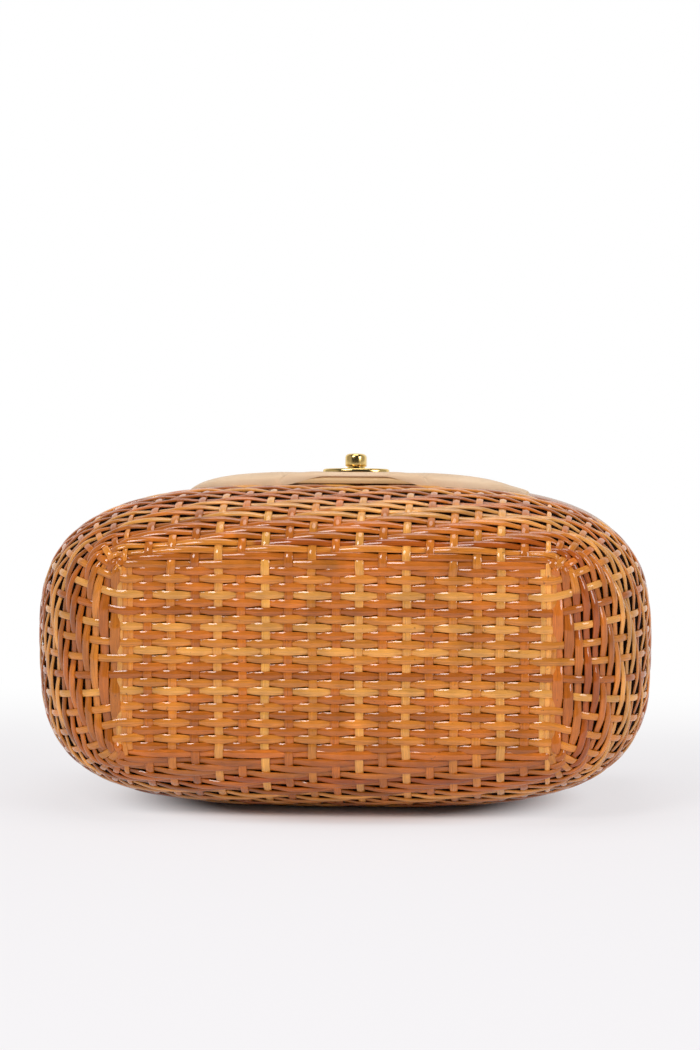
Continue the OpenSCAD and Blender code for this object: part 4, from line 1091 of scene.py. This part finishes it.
# CAD nodes whose shape is right get their finish
finishes = {
    "basket_lining": lining, "lid_lining": lining, "rim_hoop_outer": hoopWood, "rim_hoop_inner": hoopWood,
    "lid_board": boardWood, "lid_cover": leather, "front_flap": leather, "flap_backing": backingLeather,
    "handle_grip": leather,
}
for name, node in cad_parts.items():
    node.data.materials.clear()
    node.data.materials.append(finishes.get(name, brass))

# stage: pale floor that fades to a white sweep; the room is darker on the camera's side
stage = {
    "size": 12.0, "floorColour": "f3f1f3", "floorDrop": -0.0004, "fade": (0.05, 0.4),
    "glow": 0.75, "shadeGlow": 0.0, "footprint": (0.1, 0.085, 1.0), "nearFade": (0.7, 1.2),
    "sky": 0.45, "darkSide": 0.04, "backFade": (0.05, 0.6), "sides": 0.45, "sideFade": (0.55, 0.8),
    # name, place, aim, size and power
    "lights": [("key", (-0.55, -1.1, 1.05), (0, -0.03, 0.1), 0.55, 8.6),
               ("right", (1.1, -0.9, 0.7), (0, -0.03, 0.08), 0.6, 6.0),
               ("overhead", (0, 0, 1.35), (0, -0.02, 0.1), 0.7, 4.5)],
}


def makeStage(s):
    r = s["size"]
    mesh = newMesh("floor", [(-r, -r, 0), (r, -r, 0), (r, r, 0), (-r, r, 0)], [], [(0, 1, 2, 3)])
    floor = addObject("floor", mesh)
    floor.location.z = s["floorDrop"]
    mat, t, place = newMaterial("paleFloor")
    split = addNode(t, "ShaderNodeSeparateXYZ", {0: place})
    fade = addNode(t, "ShaderNodeMapRange", {
        "Value": split.outputs["Y"], "From Min": s["fade"][0], "From Max": s["fade"][1]},
        interpolation_type="SMOOTHSTEP")
    ray = addNode(t, "ShaderNodeLightPath")
    seen = addNode(t, "ShaderNodeMath", {
        0: ray.outputs["Is Camera Ray"], 1: ray.outputs["Is Glossy Ray"]}, operation="MAXIMUM")
    both = addNode(t, "ShaderNodeMath", {0: seen, 1: ray.outputs["Is Transmission Ray"]}, operation="MAXIMUM")
    spread = addNode(t, "ShaderNodeVectorMath", {0: place, 1: s["footprint"]}, operation="DIVIDE")
    away = addNode(t, "ShaderNodeVectorMath", {0: spread}, operation="LENGTH")
    near = addNode(t, "ShaderNodeMapRange", {
        "Value": away.outputs["Value"], "From Min": s["nearFade"][0], "From Max": s["nearFade"][1],
        "To Min": s["shadeGlow"], "To Max": s["glow"]}, interpolation_type="SMOOTHSTEP")
    glow = addNode(t, "ShaderNodeMapRange", {"Value": fade, "To Min": near, "To Max": 1.0})
    share = addNode(t, "ShaderNodeMath", {0: glow, 1: both}, operation="MULTIPLY")
    tint = addNode(t, "ShaderNodeMix", {
        "Factor": fade, "A": linear(s["floorColour"]), "B": (1, 1, 1, 1)}, data_type="RGBA")
    matt = addNode(t, "ShaderNodeBsdfDiffuse", {"Color": linear(s["floorColour"])})
    white = addNode(t, "ShaderNodeEmission", {"Color": tint, "Strength": 1.0})
    mixed = addNode(t, "ShaderNodeMixShader", {0: share, 1: matt, 2: white})
    addNode(t, "ShaderNodeOutputMaterial", {"Surface": mixed})
    mesh.materials.append(mat)
    world = bpy.data.worlds.new("studio")
    scene.world = world
    world.use_nodes = True
    t = world.node_tree
    t.nodes.clear()
    ray = addNode(t, "ShaderNodeLightPath")
    way = addNode(t, "ShaderNodeSeparateXYZ", {0: addNode(t, "ShaderNodeTexCoord").outputs["Generated"]})
    behind = addNode(t, "ShaderNodeMapRange", {
        "Value": way.outputs["Y"], "From Min": s["backFade"][0], "From Max": s["backFade"][1],
        "To Min": s["darkSide"], "To Max": 1.0}, interpolation_type="SMOOTHSTEP")
    aside = addNode(t, "ShaderNodeMath", {0: way.outputs["X"]}, operation="ABSOLUTE")
    panels = addNode(t, "ShaderNodeMapRange", {
        "Value": aside, "From Min": s["sideFade"][0], "From Max": s["sideFade"][1], "To Max": s["sides"]},
        interpolation_type="SMOOTHSTEP")
    room = addNode(t, "ShaderNodeMath", {0: behind, 1: panels}, operation="MAXIMUM")
    shiny = addNode(t, "ShaderNodeMath", {
        0: ray.outputs["Is Glossy Ray"], 1: ray.outputs["Is Transmission Ray"]}, operation="MAXIMUM")
    mirrored = addNode(t, "ShaderNodeMapRange", {"Value": shiny, "To Min": s["sky"], "To Max": room})
    level = addNode(t, "ShaderNodeMapRange", {
        "Value": ray.outputs["Is Camera Ray"], "To Min": mirrored, "To Max": 1.0})
    sky = addNode(t, "ShaderNodeBackground", {"Color": (1, 1, 1, 1), "Strength": level})
    addNode(t, "ShaderNodeOutputWorld", {"Surface": sky})


def areaLight(name, spot, target, size, power):
    data = bpy.data.lights.new(name, "AREA")
    data.shape, data.size, data.energy = "DISK", size, power
    lamp = addObject(name, data)
    lamp.location = spot
    lamp.rotation_mode = "QUATERNION"
    lamp.rotation_quaternion = (Vector(target) - Vector(spot)).to_track_quat("-Z", "Y")


makeStage(stage)
for light in stage["lights"]:
    areaLight(*light)
print("stage lit")
